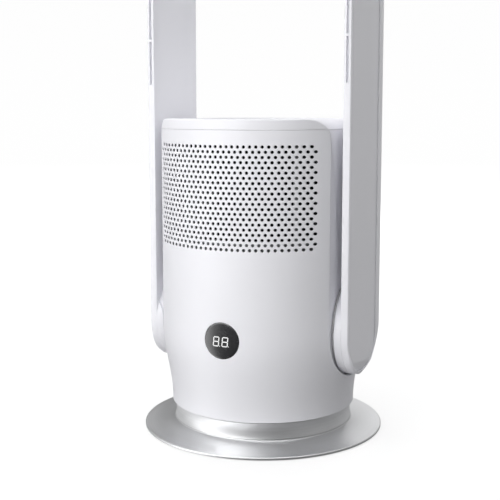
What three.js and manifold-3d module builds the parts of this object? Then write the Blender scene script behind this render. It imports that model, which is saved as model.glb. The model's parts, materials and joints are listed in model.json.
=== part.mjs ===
// Bladeless fan: a round body that swings on a heavy foot, with a hollow hoop that tilts on two side pivots.
// Air enters through the perforated body, is pushed down into the plenum, goes out through the pivots into
// the hoop's legs, and leaves through the slots in the hoop's front strip.
// Millimetres, +Z up. The origin is on the floor, on the axis that the body swings about.
// The front, with the display, faces -Y. Left and right are those of someone who looks at the front.

import * as THREE from "three";
import { mergeVertices } from "three/addons/utils/BufferGeometryUtils.js";
import Module from "manifold-3d";

const wasm = await Module();
wasm.setup();

// ---------- driving dimensions ----------

const SEAT = 0.3; // clearance between pieces that are fastened or rest on each other
const RUN = 0.3; // radial clearance of what turns
const SWING_GAP = 0.9; // between the turntable and the neck, and below the body
const ROUND = 32; // sides of the large round pieces that show
const MEDIUM = 20; // sides of round pieces inside
const SMALL = 8; // sides of pins and screws
const FAR = 400; // reach of a cutter that has to pass everything it meets
const PAST = 1; // how far a cutter reaches past a face, and a rib or post into what it is joined to
const HAIR = 0.01; // keeps two cuts off one line

// foot
const FOOT_PROUD = 19; // how far the foot stands out beyond the body
const FOOT_BOTTOM = 0.8;
const FOOT_RIM = 2.4;
const FOOT_FLARE_H = 8.6; // from the underside of the foot to the collar
const FOOT_RIM_BEVEL = 0.8;
const FLARE = [[18, 0.9], [8, 2.4], [3, 4.2]]; // points: [out from the collar, up from the rim]
const FOOT_SKIN = 1.8;
const PAD_EDGE = 14; // from the foot's edge to the rubber ring
const PAD_W = 8;
const PAD_H = 2.6;
const PAD_PROUD = 0.9; // how far the rubber stands out below the cover

const BALLAST_GAP = 1.4; // from the neck's bore to the ballast's edge
const BALLAST_T = 6;
const COVER_SCREWS = 4;
const COVER_SCREW_EDGE = 9; // from the ballast's edge to a screw's axis
const COVER_SCREW_R = 2;
const COVER_SCREW_L = 6;
const COVER_SCREW_HEAD_R = 3.6;
const COVER_SCREW_HEAD_H = 1;

// neck
const NECK_STEP = 2.6; // how far the neck lies in behind the body's lower edge
const NECK_WAIST = 1.3;
const WAIST = [[0.7, 0.18], [1, 0.42], [0.6, 0.75]]; // points: [share of the waist, share of the height]
const NECK_H = 15.3;
const NECK_WALL = 2.6;
const NECK_LIP = 1.6; // how far the neck's spigot reaches down into the foot
const DECK_T = 3;
const GLIDE_GAP = 7.3; // between the pinion's teeth and the glide ring
const GLIDE_W = 7;
const GLIDE_H = 2.2;
const GLIDE_RIDGE_H = 6.2;
const INLET_W = 18;
const INLET_H = 8;
const INLET_DEPTH = 16;
const INLET_RECESS = 1.4;
const INLET_PIN_W = 2;
const INLET_PIN_X = 4.3;
const INLET_PIN_RECESS = 2;
const SPINDLE_R = 15;
const SPINDLE_BORE = 11.5;
const SPINDLE_H = 40;
const SPINDLE_FLANGE_R = 23;
const SPINDLE_FLANGE_T = 2.5;
const NUT_R = 22;
const NUT_H = 5;
const WASHER_T = 1.2;

// swing drive
const SWING = 45; // degrees each way
const DRIVE_AT = 90; // degrees from +X to the side of the body that holds the drive
const TOOTH_MODULE = 1.5;
const SECTOR_TEETH_PER_TURN = 48;
const SPARE_TEETH = 2; // past each end of the swing
const PINION_TEETH = 12;
const GEAR_H = 6.4;
const SECTOR_INNER_R = 25;
const TOOTH_ADDENDUM = 0.8; // in modules
const TOOTH_DEDENDUM = 1.2; // in modules
const TOOTH_ROOT = 0.56; // share of the pitch that a tooth fills at its root
const TOOTH_TIP = 0.24; // and at its tip
const PINION_STUB_R = 2.5;
const PINION_STUB_H = 9;
const SWING_MOTOR_R = 14;
const SWING_MOTOR_H = 19;

// body
const BODY_R = 101;
const BODY_TAPER = 9.1; // how much narrower the body is at its foot
const TAPER_FROM = 30;
const TAPER_TO = 102;
const TAPER_STEPS = 6;
const BODY_TOP = 310.4;
const BODY_EDGE = 1.5; // bevel round the top
const FLAT_DEPTH = 13.7; // how far each cheek is cut in from the full radius
const FLAT_FILLET = 16;
const FILLET_STEPS = 5;
const CHEEK_STEPS = 16;
const SHELL_WALL = 2.4;
const LID_SEAM = 298.6;
const LID_TOP_T = 2.6;

// intake holes: every third hole of every third row is cut, so that the solids stay light
const HOLE_R = 1.5;
const HOLE_SIDES = 4;
const HOLE_PITCH = 5.36;
const ROW_PITCH = 4.67;
const ROWS = 21;
const HOLES_IN_LONG_ROW = 30;
const TOP_ROW_Z = 283.6;
const CUT_EVERY = 3;

// display
const DISPLAY_Z = 105;
const LENS_R = 17.4;
const HOLDER_WALL = 3;
const HOLDER_DEPTH = 9;
const DISPLAY_BOARD_T = 1.6;

// turntable and what stands on it
const TABLE_T = 3;
const TABLE_RIM_T = 2.5;
const HUB_WALL = 4;
const BUSH_WALL = 2.7;
const BUSH_H = 20;
const POST_R = 4;
const POST_INSET = 10; // from the plenum's wall to a post's axis
const POSTS = 4;
const BOARD_W = 70;
const BOARD_D = 34;
const BOARD_T = 1.6;
const BOARD_GAP = 6.7; // between the turntable's hub and the board
const BOARD_PEG_R = 3;
const BOARD_PEG_H = 5;

// air path inside the body
const PLENUM_GAP = 4.9; // between the plenum and the cheeks
const PLENUM_WALL = 2;
const PLENUM_FLOOR = 54;
const PLENUM_TOP = 148;
const SPOUT_WALL = 2.4;
const SPOUT_PROUD = 1; // how far a spout reaches past its retaining ring
const DIFFUSER_H = 19;
const DIFFUSER_WALL = 2;
const DIFFUSER_CUP_STEP = 3; // how far the cup stands out round the wheel's hub
const DIFFUSER_VANES = 5;
const DIFFUSER_FLOOR_T = 2.5;
const MOTOR_H = 34;
const MOTOR_TOP_GAP = 2;
const MOTOR_BACK_T = 4;
const DAMPER_H = 7;
const DAMPER_W = 13.4;
const WHEEL_EDGE = 6.5; // from the plenum's outside to the wheel's edge
const SHROUD_LINE = [[0, 0], [5, 0.3], [19.5, 0.62], [25.5, 1]]; // [in from the edge, share of the height]
const HUB_LINE = [[30.5, 0], [34.5, 0.3], [46.5, 0.62]]; // the same for the wheel's hub, below its nose
const WHEEL_NOSE_IN = 59.5; // from the wheel's edge to the rim of its nose
const WHEEL_NOSE_DROP = 4;
const WHEEL_WALL = 3;
const HOLLOW_H = 12; // hollow below the hub
const HOLLOW_TAPER = 4;
const HOLLOW_SHOULDER = 3;
const WHEEL_TIP_GAP = 2.2;
const WHEEL_BLADES = 7;
const WHEEL_BLADE_T = 1.8;
const BLADE_ROOT = 1.5; // how deep a blade is rooted in the hub
const BLADE_STEPS = 4;
const WHEEL_SWEEP = 50; // degrees that a blade turns over its height
const SHROUD_WALL = 2.2;
const DECK_Z = 185;
const INTAKE_DECK_T = 3;
const EYE_STEP = 2; // how much wider the deck's mouth is than the shroud's eye
const EYE_LIP = 4;
const SHAFT_R = 4;
const SHAFT_PROUD = 3;
const WHEEL_NUT_R = 7;
const WHEEL_NUT_H = 4;

// filter drum, which hangs from the lid
const FILTER_GAP = 4.9; // between the drum and the cheeks
const FILTER_DEPTH = 18; // of the drum's ring
const FILTER_CAP_T = 3;
const FILTER_RIBS = 4;
const FILTER_RIB_W = 4;
const FILTER_RIB_T = 2;
const FILTER_RIB_INSET = 1;
const FILTER_TOP_GAP = 15; // from the lid's top to the drum's cap
const FILTER_SEAL_H = 2.4;
const PLEATS = 22;
const PLEAT_DEPTH = 6;
const LID_PEG_R = 4;
const LID_PEGS = 3;
const LID_PEG_INSET = 7; // from the drum's bore to a peg's axis

// hoop
const HOOP_TOP = 1000;
const PIVOT_Z = 107;
const LEG_GAP = 10; // between a cheek and a leg
const LEG_HALF_D = 46.2;
const LEG_FRONT_W = 6.8;
const LEG_T = 13.5; // from a leg's inner face to its widest place
const LEG_WALL = 2;
const STRIP_T = 4;
const STRIP_BEVEL = 2.4;
const SKIN_IN = 8; // from a leg's inner face to the front edge of its outer skin
const SKIN_BULGE = 4; // how far the skin's curve swells past that edge
const SKIN_STEPS = 3;
const RIM_LIP = 0.3; // how far the back rim stands out beyond the skin
const RIM_STEP = 0.2; // and how far its front edge does
const RIM_DEPTH = 22.8;
const RIM_CORNER = 2.6; // bevel at the inner wall's back edge
const RIM_BACK = [[11.1, 0], [6.5, 0], [2.4, 3], [0.4, 9], [0, 16]]; // [in from the outside, from the back]
const RIM_HOLLOW = [[10.1, 2], [7.1, 2], [3.8, 5], [2.4, 10], [2, 16]]; // the same for its hollow side
const RIM_HOLLOW_CORNER = 4;
const END_RIM = 4.2; // width of the rim round a leg's lower end
const END_RIM_DROP = 4; // how far below the pivot that rim begins
const ARCH_STEPS = 12;
const END_STEPS = 10;
const SLOT_W = 2.6;
const SLOT_IN = 3.5; // from a leg's inner face to the slots' middle
const SLOT_L = 41.3;
const SLOT_PITCH = 43.7;
const SLOT_FIRST_Z = 341;

// pivots
const BOSS_INSET = 2.2; // how far a boss lies inside the leg's round end
const BOSS_W = 9.7; // from a boss's bore to its edge
const BOSS_BEVEL = 1.2;
const BUSH_SIDE_WALL = 2.7;
const BUSH_FLANGE_W = 6;
const BUSH_FLANGE_T = 2;
const FRICTION_RING_T = 1.8;
const FRICTION_RING_W = 7;
const FRICTION_RING_INSET = 1.5;
const RETAINER_W = 5;
const RETAINER_T = 1.4;

// ---------- heights and radii that follow ----------

const FOOT_R = BODY_R + FOOT_PROUD;
const BODY_LOW_R = BODY_R - BODY_TAPER;
const FLAT_X = BODY_R - FLAT_DEPTH; // half the width across the two cheeks
const CHEEK_INNER_X = FLAT_X - SHELL_WALL;
const NECK_R = BODY_LOW_R - NECK_STEP;
const NECK_BORE = NECK_R - NECK_WAIST - NECK_WALL;
const PAD_R = FOOT_R - PAD_EDGE;
const BALLAST_R = NECK_BORE - BALLAST_GAP;
const PLENUM_R = CHEEK_INNER_X - PLENUM_GAP;
const WHEEL_R = PLENUM_R - WHEEL_EDGE;
const WHEEL_HUB_R = WHEEL_R - HUB_LINE[0][0];
const WHEEL_NOSE_R = WHEEL_R - WHEEL_NOSE_IN;
const DIFFUSER_CUP_R = WHEEL_HUB_R + DIFFUSER_CUP_STEP;
const MOTOR_R = DIFFUSER_CUP_R - DIFFUSER_WALL - DAMPER_W - 2 * SEAT;
const EYE_R = WHEEL_R - SHROUD_LINE.at(-1)[0] + EYE_STEP;
const FILTER_R = CHEEK_INNER_X - FILTER_GAP;
const FILTER_BORE = FILTER_R - FILTER_DEPTH;
const LEG_X = FLAT_X + LEG_GAP; // inner face of a leg
const LEG_OUT = LEG_X + LEG_T;
const SKIN_FRONT_X = LEG_X + SKIN_IN;
const SKIN_BACK_X = LEG_OUT - RIM_LIP;
const SKIN_BACK_Y = LEG_HALF_D - RIM_DEPTH;
const SKIN_END_R = LEG_HALF_D - END_RIM;
const SLOT_X = LEG_X + SLOT_IN;
const BOSS_R = LEG_HALF_D - BOSS_INSET;
const BOSS_BORE = BOSS_R - BOSS_W;
const PIVOT_BUSH_R = BOSS_BORE - RUN;
const SPOUT_R = PIVOT_BUSH_R - BUSH_SIDE_WALL - SEAT;
const COVER_Z = PAD_PROUD;
const COVER_R = PAD_R - PAD_W - SEAT;
const BALLAST_Z = PAD_H + SEAT;
const BASE_DECK_Z = BALLAST_Z + BALLAST_T + SEAT;
const DECK_TOP = BASE_DECK_Z + DECK_T;
const COLLAR_Z = FOOT_BOTTOM + FOOT_FLARE_H;
const NECK_Z = COLLAR_Z + SEAT;
const NECK_TOP = NECK_Z + NECK_H;
const GLIDE_Z = DECK_TOP + GLIDE_RIDGE_H + SEAT;
const TABLE_Z = GLIDE_Z + GLIDE_H + SEAT;
const TABLE_TOP = TABLE_Z + TABLE_T;
const BODY_BOTTOM = NECK_TOP + SWING_GAP;
const GEAR_Z = DECK_TOP + SEAT;
const SECTOR_PITCH_R = (TOOTH_MODULE * SECTOR_TEETH_PER_TURN) / 2;
const PINION_PITCH_R = (TOOTH_MODULE * PINION_TEETH) / 2;
const PINION_Y = SECTOR_PITCH_R + PINION_PITCH_R;
const PINION_REACH = PINION_Y + PINION_PITCH_R + TOOTH_ADDENDUM * TOOTH_MODULE;
const GLIDE_R = PINION_REACH + GLIDE_GAP + GLIDE_W / 2; // mean radius of the glide ring
const BUSH_R = SPINDLE_R + RUN;
const HUB_BORE = BUSH_R + BUSH_WALL + SEAT;
const BOARD_Y = -(HUB_BORE + HUB_WALL + BOARD_GAP + BOARD_D / 2);
const WASHER_Z = TABLE_Z + BUSH_H + SEAT;
const FLAT_HALF_W = Math.sqrt(BODY_R ** 2 - FLAT_X ** 2);
const INNER_R = BODY_R - SHELL_WALL - SEAT;
const SPOUT_END = LEG_X + LEG_WALL + RETAINER_T + 2 * SEAT + SPOUT_PROUD;
const BUSH_FLANGE_R = PIVOT_BUSH_R + BUSH_FLANGE_W;
const MOTOR_TOP = PLENUM_TOP - MOTOR_TOP_GAP;
const WHEEL_Z = PLENUM_TOP + SEAT;
const WHEEL_TOP = DECK_Z - INTAKE_DECK_T;
const WHEEL_NOSE_Z = WHEEL_TOP - WHEEL_NOSE_DROP;
const FILTER_CAP_Z = BODY_TOP - LID_TOP_T - FILTER_TOP_GAP;
const FILTER_RING_Z = DECK_Z + INTAKE_DECK_T + FILTER_SEAL_H + 2 * SEAT;
const ARCH_Z = HOOP_TOP - LEG_OUT;
const SLOTS_A_LEG = Math.floor((ARCH_Z - SLOT_FIRST_Z) / SLOT_PITCH);

// ---------- materials ----------

const finish = (color, roughness, metalness = 0) =>
  new THREE.MeshStandardMaterial({ color, roughness, metalness });
const white = finish(0xf2f2f5, 0.4);
const silver = finish(0xc4c6c9, 0.35, 0.9);
const steel = finish(0x8d9094, 0.4, 0.9);
const iron = finish(0x4a4c50, 0.6, 0.7);
const black = finish(0x141518, 0.1);
const rubber = finish(0x202124, 0.9);
const grey = finish(0x8b8e92, 0.5);
const acetal = finish(0xe6e3da, 0.45);
const green = finish(0x1d5a3a, 0.5);
const paper = finish(0xe9e7df, 0.9);

// ---------- solids ----------

// Closed solid of a three.js geometry.
function solid(geometry) {
  const bare = geometry.index ? geometry.toNonIndexed() : geometry;
  const places = new THREE.BufferGeometry().setAttribute("position", bare.getAttribute("position"));
  const merged = mergeVertices(places, 1e-3);
  return new wasm.Manifold(
    new wasm.Mesh({
      numProp: 3,
      vertProperties: merged.attributes.position.array,
      triVerts: new Uint32Array(merged.index.array),
    }),
  );
}

const join = (first, ...others) => others.reduce((all, one) => all.add(one), first);
const cut = (first, ...others) => others.reduce((all, one) => all.subtract(one), first);

// Geometry of a closed solid.
function geometryOf(made) {
  const m = made.getMesh();
  const geometry = new THREE.BufferGeometry();
  geometry.setAttribute("position", new THREE.BufferAttribute(new Float32Array(m.vertProperties), 3));
  geometry.setIndex(new THREE.BufferAttribute(new Uint32Array(m.triVerts), 1));
  geometry.computeVertexNormals();
  return geometry;
}

// Profile of [radius, height] points, counter-clockwise, turned about Z.
function turned(profile, sides = ROUND) {
  const points = profile.map(([r, z]) => new THREE.Vector2(r, z));
  if (profile[0][0] > 0) points.push(points[0].clone());
  return solid(new THREE.LatheGeometry(points, sides).rotateX(Math.PI / 2));
}

const washer = (inner, outer, z, height, sides = ROUND) =>
  turned(
    [
      [inner, z],
      [outer, z],
      [outer, z + height],
      [inner, z + height],
    ],
    sides,
  );

const rod = (radius, z, height, sides = SMALL) =>
  turned(
    [
      [0, z],
      [radius, z],
      [radius, z + height],
      [0, z + height],
    ],
    sides,
  );

// Outline of [u, v] points, extruded along the third axis of the basis from `from` over `depth`.
function extruded(outline, axes, from, depth) {
  const shape = new THREE.Shape(outline.map(([u, v]) => new THREE.Vector2(u, v)));
  const geometry = new THREE.ExtrudeGeometry(shape, { depth, bevelEnabled: false });
  geometry.translate(0, 0, from);
  geometry.applyMatrix4(new THREE.Matrix4().makeBasis(...axes));
  return solid(geometry);
}

const X = new THREE.Vector3(1, 0, 0);
const Y = new THREE.Vector3(0, 1, 0);
const Z = new THREE.Vector3(0, 0, 1);
const alongZ = (outline, from, depth) => extruded(outline, [X, Y, Z], from, depth);
const alongX = (outline, from, depth) => extruded(outline, [Y, Z, X], from, depth);
const alongY = (outline, from, depth) => extruded(outline, [Z, X, Y], from, depth);

const box = (x0, x1, y0, y1, z0, z1) =>
  alongZ(
    [
      [x0, y0],
      [x1, y0],
      [x1, y1],
      [x0, y1],
    ],
    z0,
    z1 - z0,
  );

// Points of an arc, angles in degrees.
function arc(u, v, radius, from, to, steps) {
  return Array.from({ length: steps + 1 }, (_, i) => {
    const angle = THREE.MathUtils.degToRad(from + ((to - from) * i) / steps);
    return [u + radius * Math.cos(angle), v + radius * Math.sin(angle)];
  });
}

const circle = (u, v, radius, sides) => arc(u, v, radius, 0, 360, sides).slice(0, -1);

// Profile of [radius, distance from the middle plane], turned about the pivots' axis; side is 1 or -1.
function turnedOnPivot(profile, side, sides = ROUND) {
  const points = profile.map(([r, x]) => new THREE.Vector2(r, x));
  points.push(points[0].clone());
  const geometry = new THREE.LatheGeometry(points, sides);
  geometry.rotateZ((-side * Math.PI) / 2).translate(0, 0, PIVOT_Z);
  return solid(geometry);
}

const pivotRing = (inner, outer, x, width, side, sides = ROUND) =>
  turnedOnPivot(
    [
      [inner, x],
      [outer, x],
      [outer, x + width],
      [inner, x + width],
    ],
    side,
    sides,
  );

const pivotRod = (radius, x, width, side, sides = MEDIUM) =>
  alongX(circle(0, PIVOT_Z, radius, sides), side > 0 ? x : -x - width, width);

// Hexagonal nut round a bore.
const nut = (bore, radius, z, height) =>
  cut(rod(radius, z, height, 6), rod(bore, z - PAST, height + 2 * PAST, MEDIUM));

const group = new THREE.Group();

function piece(name, made, material) {
  const mesh = new THREE.Mesh(geometryOf(made), material);
  mesh.name = name;
  group.add(mesh);
}

// ---------- the body's outer form ----------

// Radius of the body at a height: a narrow foot that swells into the full width.
const bodyRadius = (z) => BODY_LOW_R + BODY_TAPER * THREE.MathUtils.smoothstep(z, TAPER_FROM, TAPER_TO);

// Front view of what the cheeks leave: upright sides with a rounded shoulder.
function cheekProfile(inset) {
  const half = FLAT_X - inset;
  const radius = FLAT_FILLET - inset;
  const centre = BODY_TOP - FLAT_FILLET;
  const right = arc(half - radius, centre, radius, 0, 90, FILLET_STEPS);
  const left = right.map(([x, z]) => [-x, z]).reverse();
  return [[-half, -FAR], [half, -FAR], ...right, ...left];
}

// Side view of a cheek: straight up from the pivot, with a round lower end about it. The flats themselves
// run on to the round front and back, which they meet in an edge above the pivot.
const cheekArc = (grow) => arc(0, PIVOT_Z, FLAT_HALF_W + grow, 180, 360, CHEEK_STEPS);
const cheekOutline = (grow) => [
  [FLAT_HALF_W + grow, FAR],
  [-FLAT_HALF_W - grow, FAR],
  ...cheekArc(grow),
];
const flatOutline = (grow) => [
  [FAR, PIVOT_Z],
  [FAR, FAR],
  [-FAR, FAR],
  [-FAR, PIVOT_Z],
  ...cheekArc(grow),
];

// The body's form, drawn in by inset on all sides.
function bodyForm(inset, bottom = BODY_BOTTOM - PAST) {
  const taper = Array.from({ length: TAPER_STEPS + 1 }, (_, i) => {
    const z = TAPER_FROM + ((TAPER_TO - TAPER_FROM) * i) / TAPER_STEPS;
    return [bodyRadius(z) - inset, z];
  });
  const round = turned([
    [0, bottom],
    [BODY_LOW_R - inset, bottom],
    ...taper,
    [BODY_R - inset, BODY_TOP - BODY_EDGE],
    [BODY_R - inset - BODY_EDGE, BODY_TOP - inset],
    [0, BODY_TOP - inset],
  ]);
  const outside = cut(
    alongX(flatOutline(inset), -FAR, 2 * FAR),
    alongY(
      cheekProfile(inset).map(([x, z]) => [z, x]),
      -FAR,
      2 * FAR,
    ),
  );
  return cut(round, outside);
}

const slab = (z0, z1) => box(-FAR, FAR, -FAR, FAR, z0, z1);
const frontHalf = box(-FAR, FAR, -FAR, -SEAT / 2, -FAR, FAR);
const backHalf = box(-FAR, FAR, SEAT / 2, FAR, -FAR, FAR);
const bodyOuter = bodyForm(0);
const bodyInner = bodyForm(SHELL_WALL, BODY_BOTTOM - 2 * PAST);
const bodyInside = bodyForm(SHELL_WALL + SEAT, BODY_BOTTOM - 2 * PAST); // what fits into the shells

// ---------- base ----------

function base() {
  const collarR = NECK_R + SEAT;
  const rimZ = FOOT_BOTTOM + FOOT_RIM;
  const skinTop = [
    [FOOT_R, FOOT_BOTTOM],
    [FOOT_R, rimZ - FOOT_RIM_BEVEL],
    [FOOT_R - FOOT_RIM_BEVEL, rimZ],
    ...FLARE.map(([out, up]) => [collarR + out, rimZ + up]),
    [collarR, COLLAR_Z],
  ];
  const skinUnder = [
    [NECK_R - FOOT_SKIN, COLLAR_Z],
    [NECK_R - FOOT_SKIN, COLLAR_Z - FOOT_SKIN],
    [collarR + FLARE.at(-1)[0], PAD_H + SEAT + FOOT_SKIN],
    [PAD_R + SEAT, PAD_H + SEAT],
    [PAD_R + SEAT, FOOT_BOTTOM],
  ];
  piece("base_disc", turned([...skinTop, ...skinUnder]), silver);

  piece("foot_ring", washer(PAD_R - PAD_W, PAD_R, 0, PAD_H), rubber);

  const screwAngle = (i) => ((i + 0.5) * 2 * Math.PI) / COVER_SCREWS;
  const onScrewCircle = (i, made) => {
    const angle = screwAngle(i);
    const reach = BALLAST_R - COVER_SCREW_EDGE;
    return made.translate([reach * Math.cos(angle), reach * Math.sin(angle), 0]);
  };
  const headZ = COVER_Z + SEAT;
  const screwHoles = Array.from({ length: COVER_SCREWS }, (_, i) =>
    onScrewCircle(
      i,
      join(
        rod(COVER_SCREW_R + SEAT, COVER_Z - PAST, FAR),
        rod(COVER_SCREW_HEAD_R + SEAT, COVER_Z - PAST, PAST + COVER_SCREW_HEAD_H + 2 * SEAT),
      ),
    ),
  );
  piece("base_cover", cut(rod(COVER_R, COVER_Z, PAD_H - COVER_Z, ROUND), ...screwHoles), grey);
  piece("ballast_plate", cut(rod(BALLAST_R, BALLAST_Z, BALLAST_T, ROUND), ...screwHoles), iron);
  for (let i = 0; i < COVER_SCREWS; i++) {
    const head = rod(COVER_SCREW_HEAD_R, headZ, COVER_SCREW_HEAD_H);
    const shank = rod(COVER_SCREW_R, headZ, COVER_SCREW_L);
    piece(`cover_screw_${i + 1}`, onScrewCircle(i, join(head, shank)), steel);
  }

  const glide = (z, height) => washer(GLIDE_R - GLIDE_W / 2, GLIDE_R + GLIDE_W / 2, z, height, MEDIUM);
  const ridge = glide(DECK_TOP - PAST, GLIDE_RIDGE_H + PAST);
  piece("base_deck", join(rod(NECK_BORE - SEAT, BASE_DECK_Z, DECK_T, ROUND), ridge), grey);
  piece("glide_ring", glide(GLIDE_Z, GLIDE_H), acetal);

  const spigotR = NECK_R - FOOT_SKIN - SEAT;
  const neck = turned([
    [NECK_BORE, NECK_Z - NECK_LIP],
    [spigotR, NECK_Z - NECK_LIP],
    [spigotR, NECK_Z],
    [NECK_R, NECK_Z],
    ...WAIST.map(([deep, high]) => [NECK_R - NECK_WAIST * deep, NECK_Z + NECK_H * high]),
    [NECK_R, NECK_TOP],
    [NECK_BORE, NECK_TOP],
  ]);
  const inletZ = DECK_TOP + SEAT;
  const inletWindow = box(
    -INLET_W / 2 - SEAT,
    INLET_W / 2 + SEAT,
    0,
    FAR,
    DECK_TOP - 2 * SEAT,
    inletZ + INLET_H + SEAT,
  );
  piece("neck_ring", cut(neck, inletWindow), silver);

  const inletFace = NECK_R - NECK_WAIST;
  const inletBack = inletFace - INLET_DEPTH;
  const inletMiddle = (inletFace + inletBack) / 2;
  const inletBody = box(-INLET_W / 2, INLET_W / 2, inletBack, inletFace, inletZ, inletZ + INLET_H);
  const inletMouth = box(
    -INLET_W / 2 + INLET_RECESS,
    INLET_W / 2 - INLET_RECESS,
    inletMiddle,
    FAR,
    inletZ + INLET_RECESS,
    inletZ + INLET_H - INLET_RECESS,
  );
  const pins = [-INLET_PIN_X, INLET_PIN_X].map((x) =>
    box(
      x - INLET_PIN_W / 2,
      x + INLET_PIN_W / 2,
      inletMiddle - PAST,
      inletFace - INLET_PIN_RECESS,
      inletZ + (INLET_H - INLET_PIN_W) / 2,
      inletZ + (INLET_H + INLET_PIN_W) / 2,
    ),
  );
  piece("power_inlet", join(cut(inletBody, inletMouth), ...pins), black);

  const flange = rod(SPINDLE_FLANGE_R, GEAR_Z, SPINDLE_FLANGE_T, MEDIUM);
  const post = rod(SPINDLE_R, GEAR_Z, SPINDLE_H, MEDIUM);
  const bore = rod(SPINDLE_BORE, GEAR_Z - PAST, SPINDLE_H + 2 * PAST, MEDIUM);
  piece("spindle", cut(join(flange, post), bore), steel);
  piece("spindle_washer", washer(BUSH_R, NUT_R, WASHER_Z, WASHER_T, MEDIUM), steel);
  piece("spindle_nut", nut(BUSH_R, NUT_R, WASHER_Z + WASHER_T + SEAT, NUT_H), steel);
}

// ---------- swing drive ----------

// One tooth: four corners about the angle `middle`, for a wheel with `count` teeth in a full turn.
function tooth(middle, count) {
  const pitchR = (TOOTH_MODULE * count) / 2;
  const pitch = 360 / count;
  const root = pitchR - TOOTH_DEDENDUM * TOOTH_MODULE;
  const tip = pitchR + TOOTH_ADDENDUM * TOOTH_MODULE;
  const corner = (radius, share, hand) => {
    const angle = THREE.MathUtils.degToRad(middle + (hand * share * pitch) / 2);
    return [radius * Math.cos(angle), radius * Math.sin(angle)];
  };
  return [
    corner(root, TOOTH_ROOT, -1),
    corner(tip, TOOTH_TIP, -1),
    corner(tip, TOOTH_TIP, 1),
    corner(root, TOOTH_ROOT, 1),
  ];
}

function swingDrive() {
  // A tooth of the sector stands in the middle of the drive's side, and a gap of the pinion faces it.
  const step = 360 / SECTOR_TEETH_PER_TURN;
  const half = Math.ceil(SWING / step) + SPARE_TEETH;
  const teeth = Array.from({ length: 2 * half + 1 }, (_, i) =>
    tooth(DRIVE_AT + (i - half) * step, SECTOR_TEETH_PER_TURN),
  );
  const ends = (half + 0.5) * step;
  const inner = arc(0, 0, SECTOR_INNER_R, DRIVE_AT + ends, DRIVE_AT - ends, half);
  piece("gear_sector", alongZ([...teeth.flat(), ...inner], GEAR_Z, GEAR_H), steel);

  const pinionStep = 360 / PINION_TEETH;
  const pinionTeeth = Array.from({ length: PINION_TEETH }, (_, i) =>
    tooth((i + 0.5) * pinionStep - DRIVE_AT, PINION_TEETH),
  );
  const stubTop = GEAR_Z + GEAR_H + PINION_STUB_H;
  const wheel = alongZ(pinionTeeth.flat(), GEAR_Z, GEAR_H);
  const stub = rod(PINION_STUB_R, GEAR_Z, stubTop - GEAR_Z);
  piece("oscillation_pinion", join(wheel, stub).translate([0, PINION_Y, 0]), acetal);

  const can = rod(SWING_MOTOR_R, TABLE_TOP + SEAT, SWING_MOTOR_H, MEDIUM);
  const socket = rod(PINION_STUB_R + RUN, TABLE_TOP, stubTop + SEAT - TABLE_TOP);
  piece("oscillation_motor", cut(can, socket).translate([0, PINION_Y, 0]), steel);
}

// ---------- body ----------

// Where the holes of the intake are: staggered rows, straight up and down, evenly spaced across the front.
function intakePlaces() {
  const places = [];
  for (let row = 0; row < ROWS; row += CUT_EVERY) {
    const count = row % 2 === 0 ? HOLES_IN_LONG_ROW - 1 : HOLES_IN_LONG_ROW;
    for (let i = 0; i < count; i += CUT_EVERY) {
      places.push([(i - (count - 1) / 2) * HOLE_PITCH, TOP_ROW_Z - row * ROW_PITCH]);
    }
  }
  return places;
}

function intakeCutter() {
  const holes = intakePlaces().map(([x, z]) => alongY(circle(z, x, HOLE_R, HOLE_SIDES), -FAR, 2 * FAR));
  return wasm.Manifold.union(holes);
}

function shells() {
  const wall = cut(bodyOuter, bodyInner).intersect(slab(BODY_BOTTOM, LID_SEAM));
  const cheekRoom = alongX(cheekOutline(SEAT), -FAR, 2 * FAR);
  const round = cut(wall, cheekRoom, intakeCutter());
  const lensRoom = alongY(circle(DISPLAY_Z, 0, LENS_R + SEAT, MEDIUM), -FAR, FAR);
  piece("front_shell", cut(round.intersect(frontHalf), lensRoom), white);
  piece("rear_shell", round.intersect(backHalf), white);

  for (const side of [-1, 1]) {
    const cheek = wall.intersect(alongX(cheekOutline(-SEAT / 2), side > 0 ? 0 : -FAR, FAR));
    const hole = pivotRod(PIVOT_BUSH_R + SEAT, 0, FAR, side);
    piece(side < 0 ? "side_panel_left" : "side_panel_right", cut(cheek, hole), white);
  }
}

function display() {
  const round = (radius, from, to) => alongY(circle(DISPLAY_Z, 0, radius, MEDIUM), from, to - from);
  piece("display_lens", cut(bodyOuter, bodyInner).intersect(round(LENS_R, -FAR, 0)), black);
  const back = -INNER_R + HOLDER_DEPTH;
  const outer = LENS_R + HOLDER_WALL;
  const holder = bodyInside.intersect(round(outer, -FAR, back));
  piece("display_holder", cut(holder, round(LENS_R - HOLDER_WALL, -FAR, FAR)), grey);
  piece("display_board", round(outer, back + SEAT, back + SEAT + DISPLAY_BOARD_T), green);
}

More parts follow.
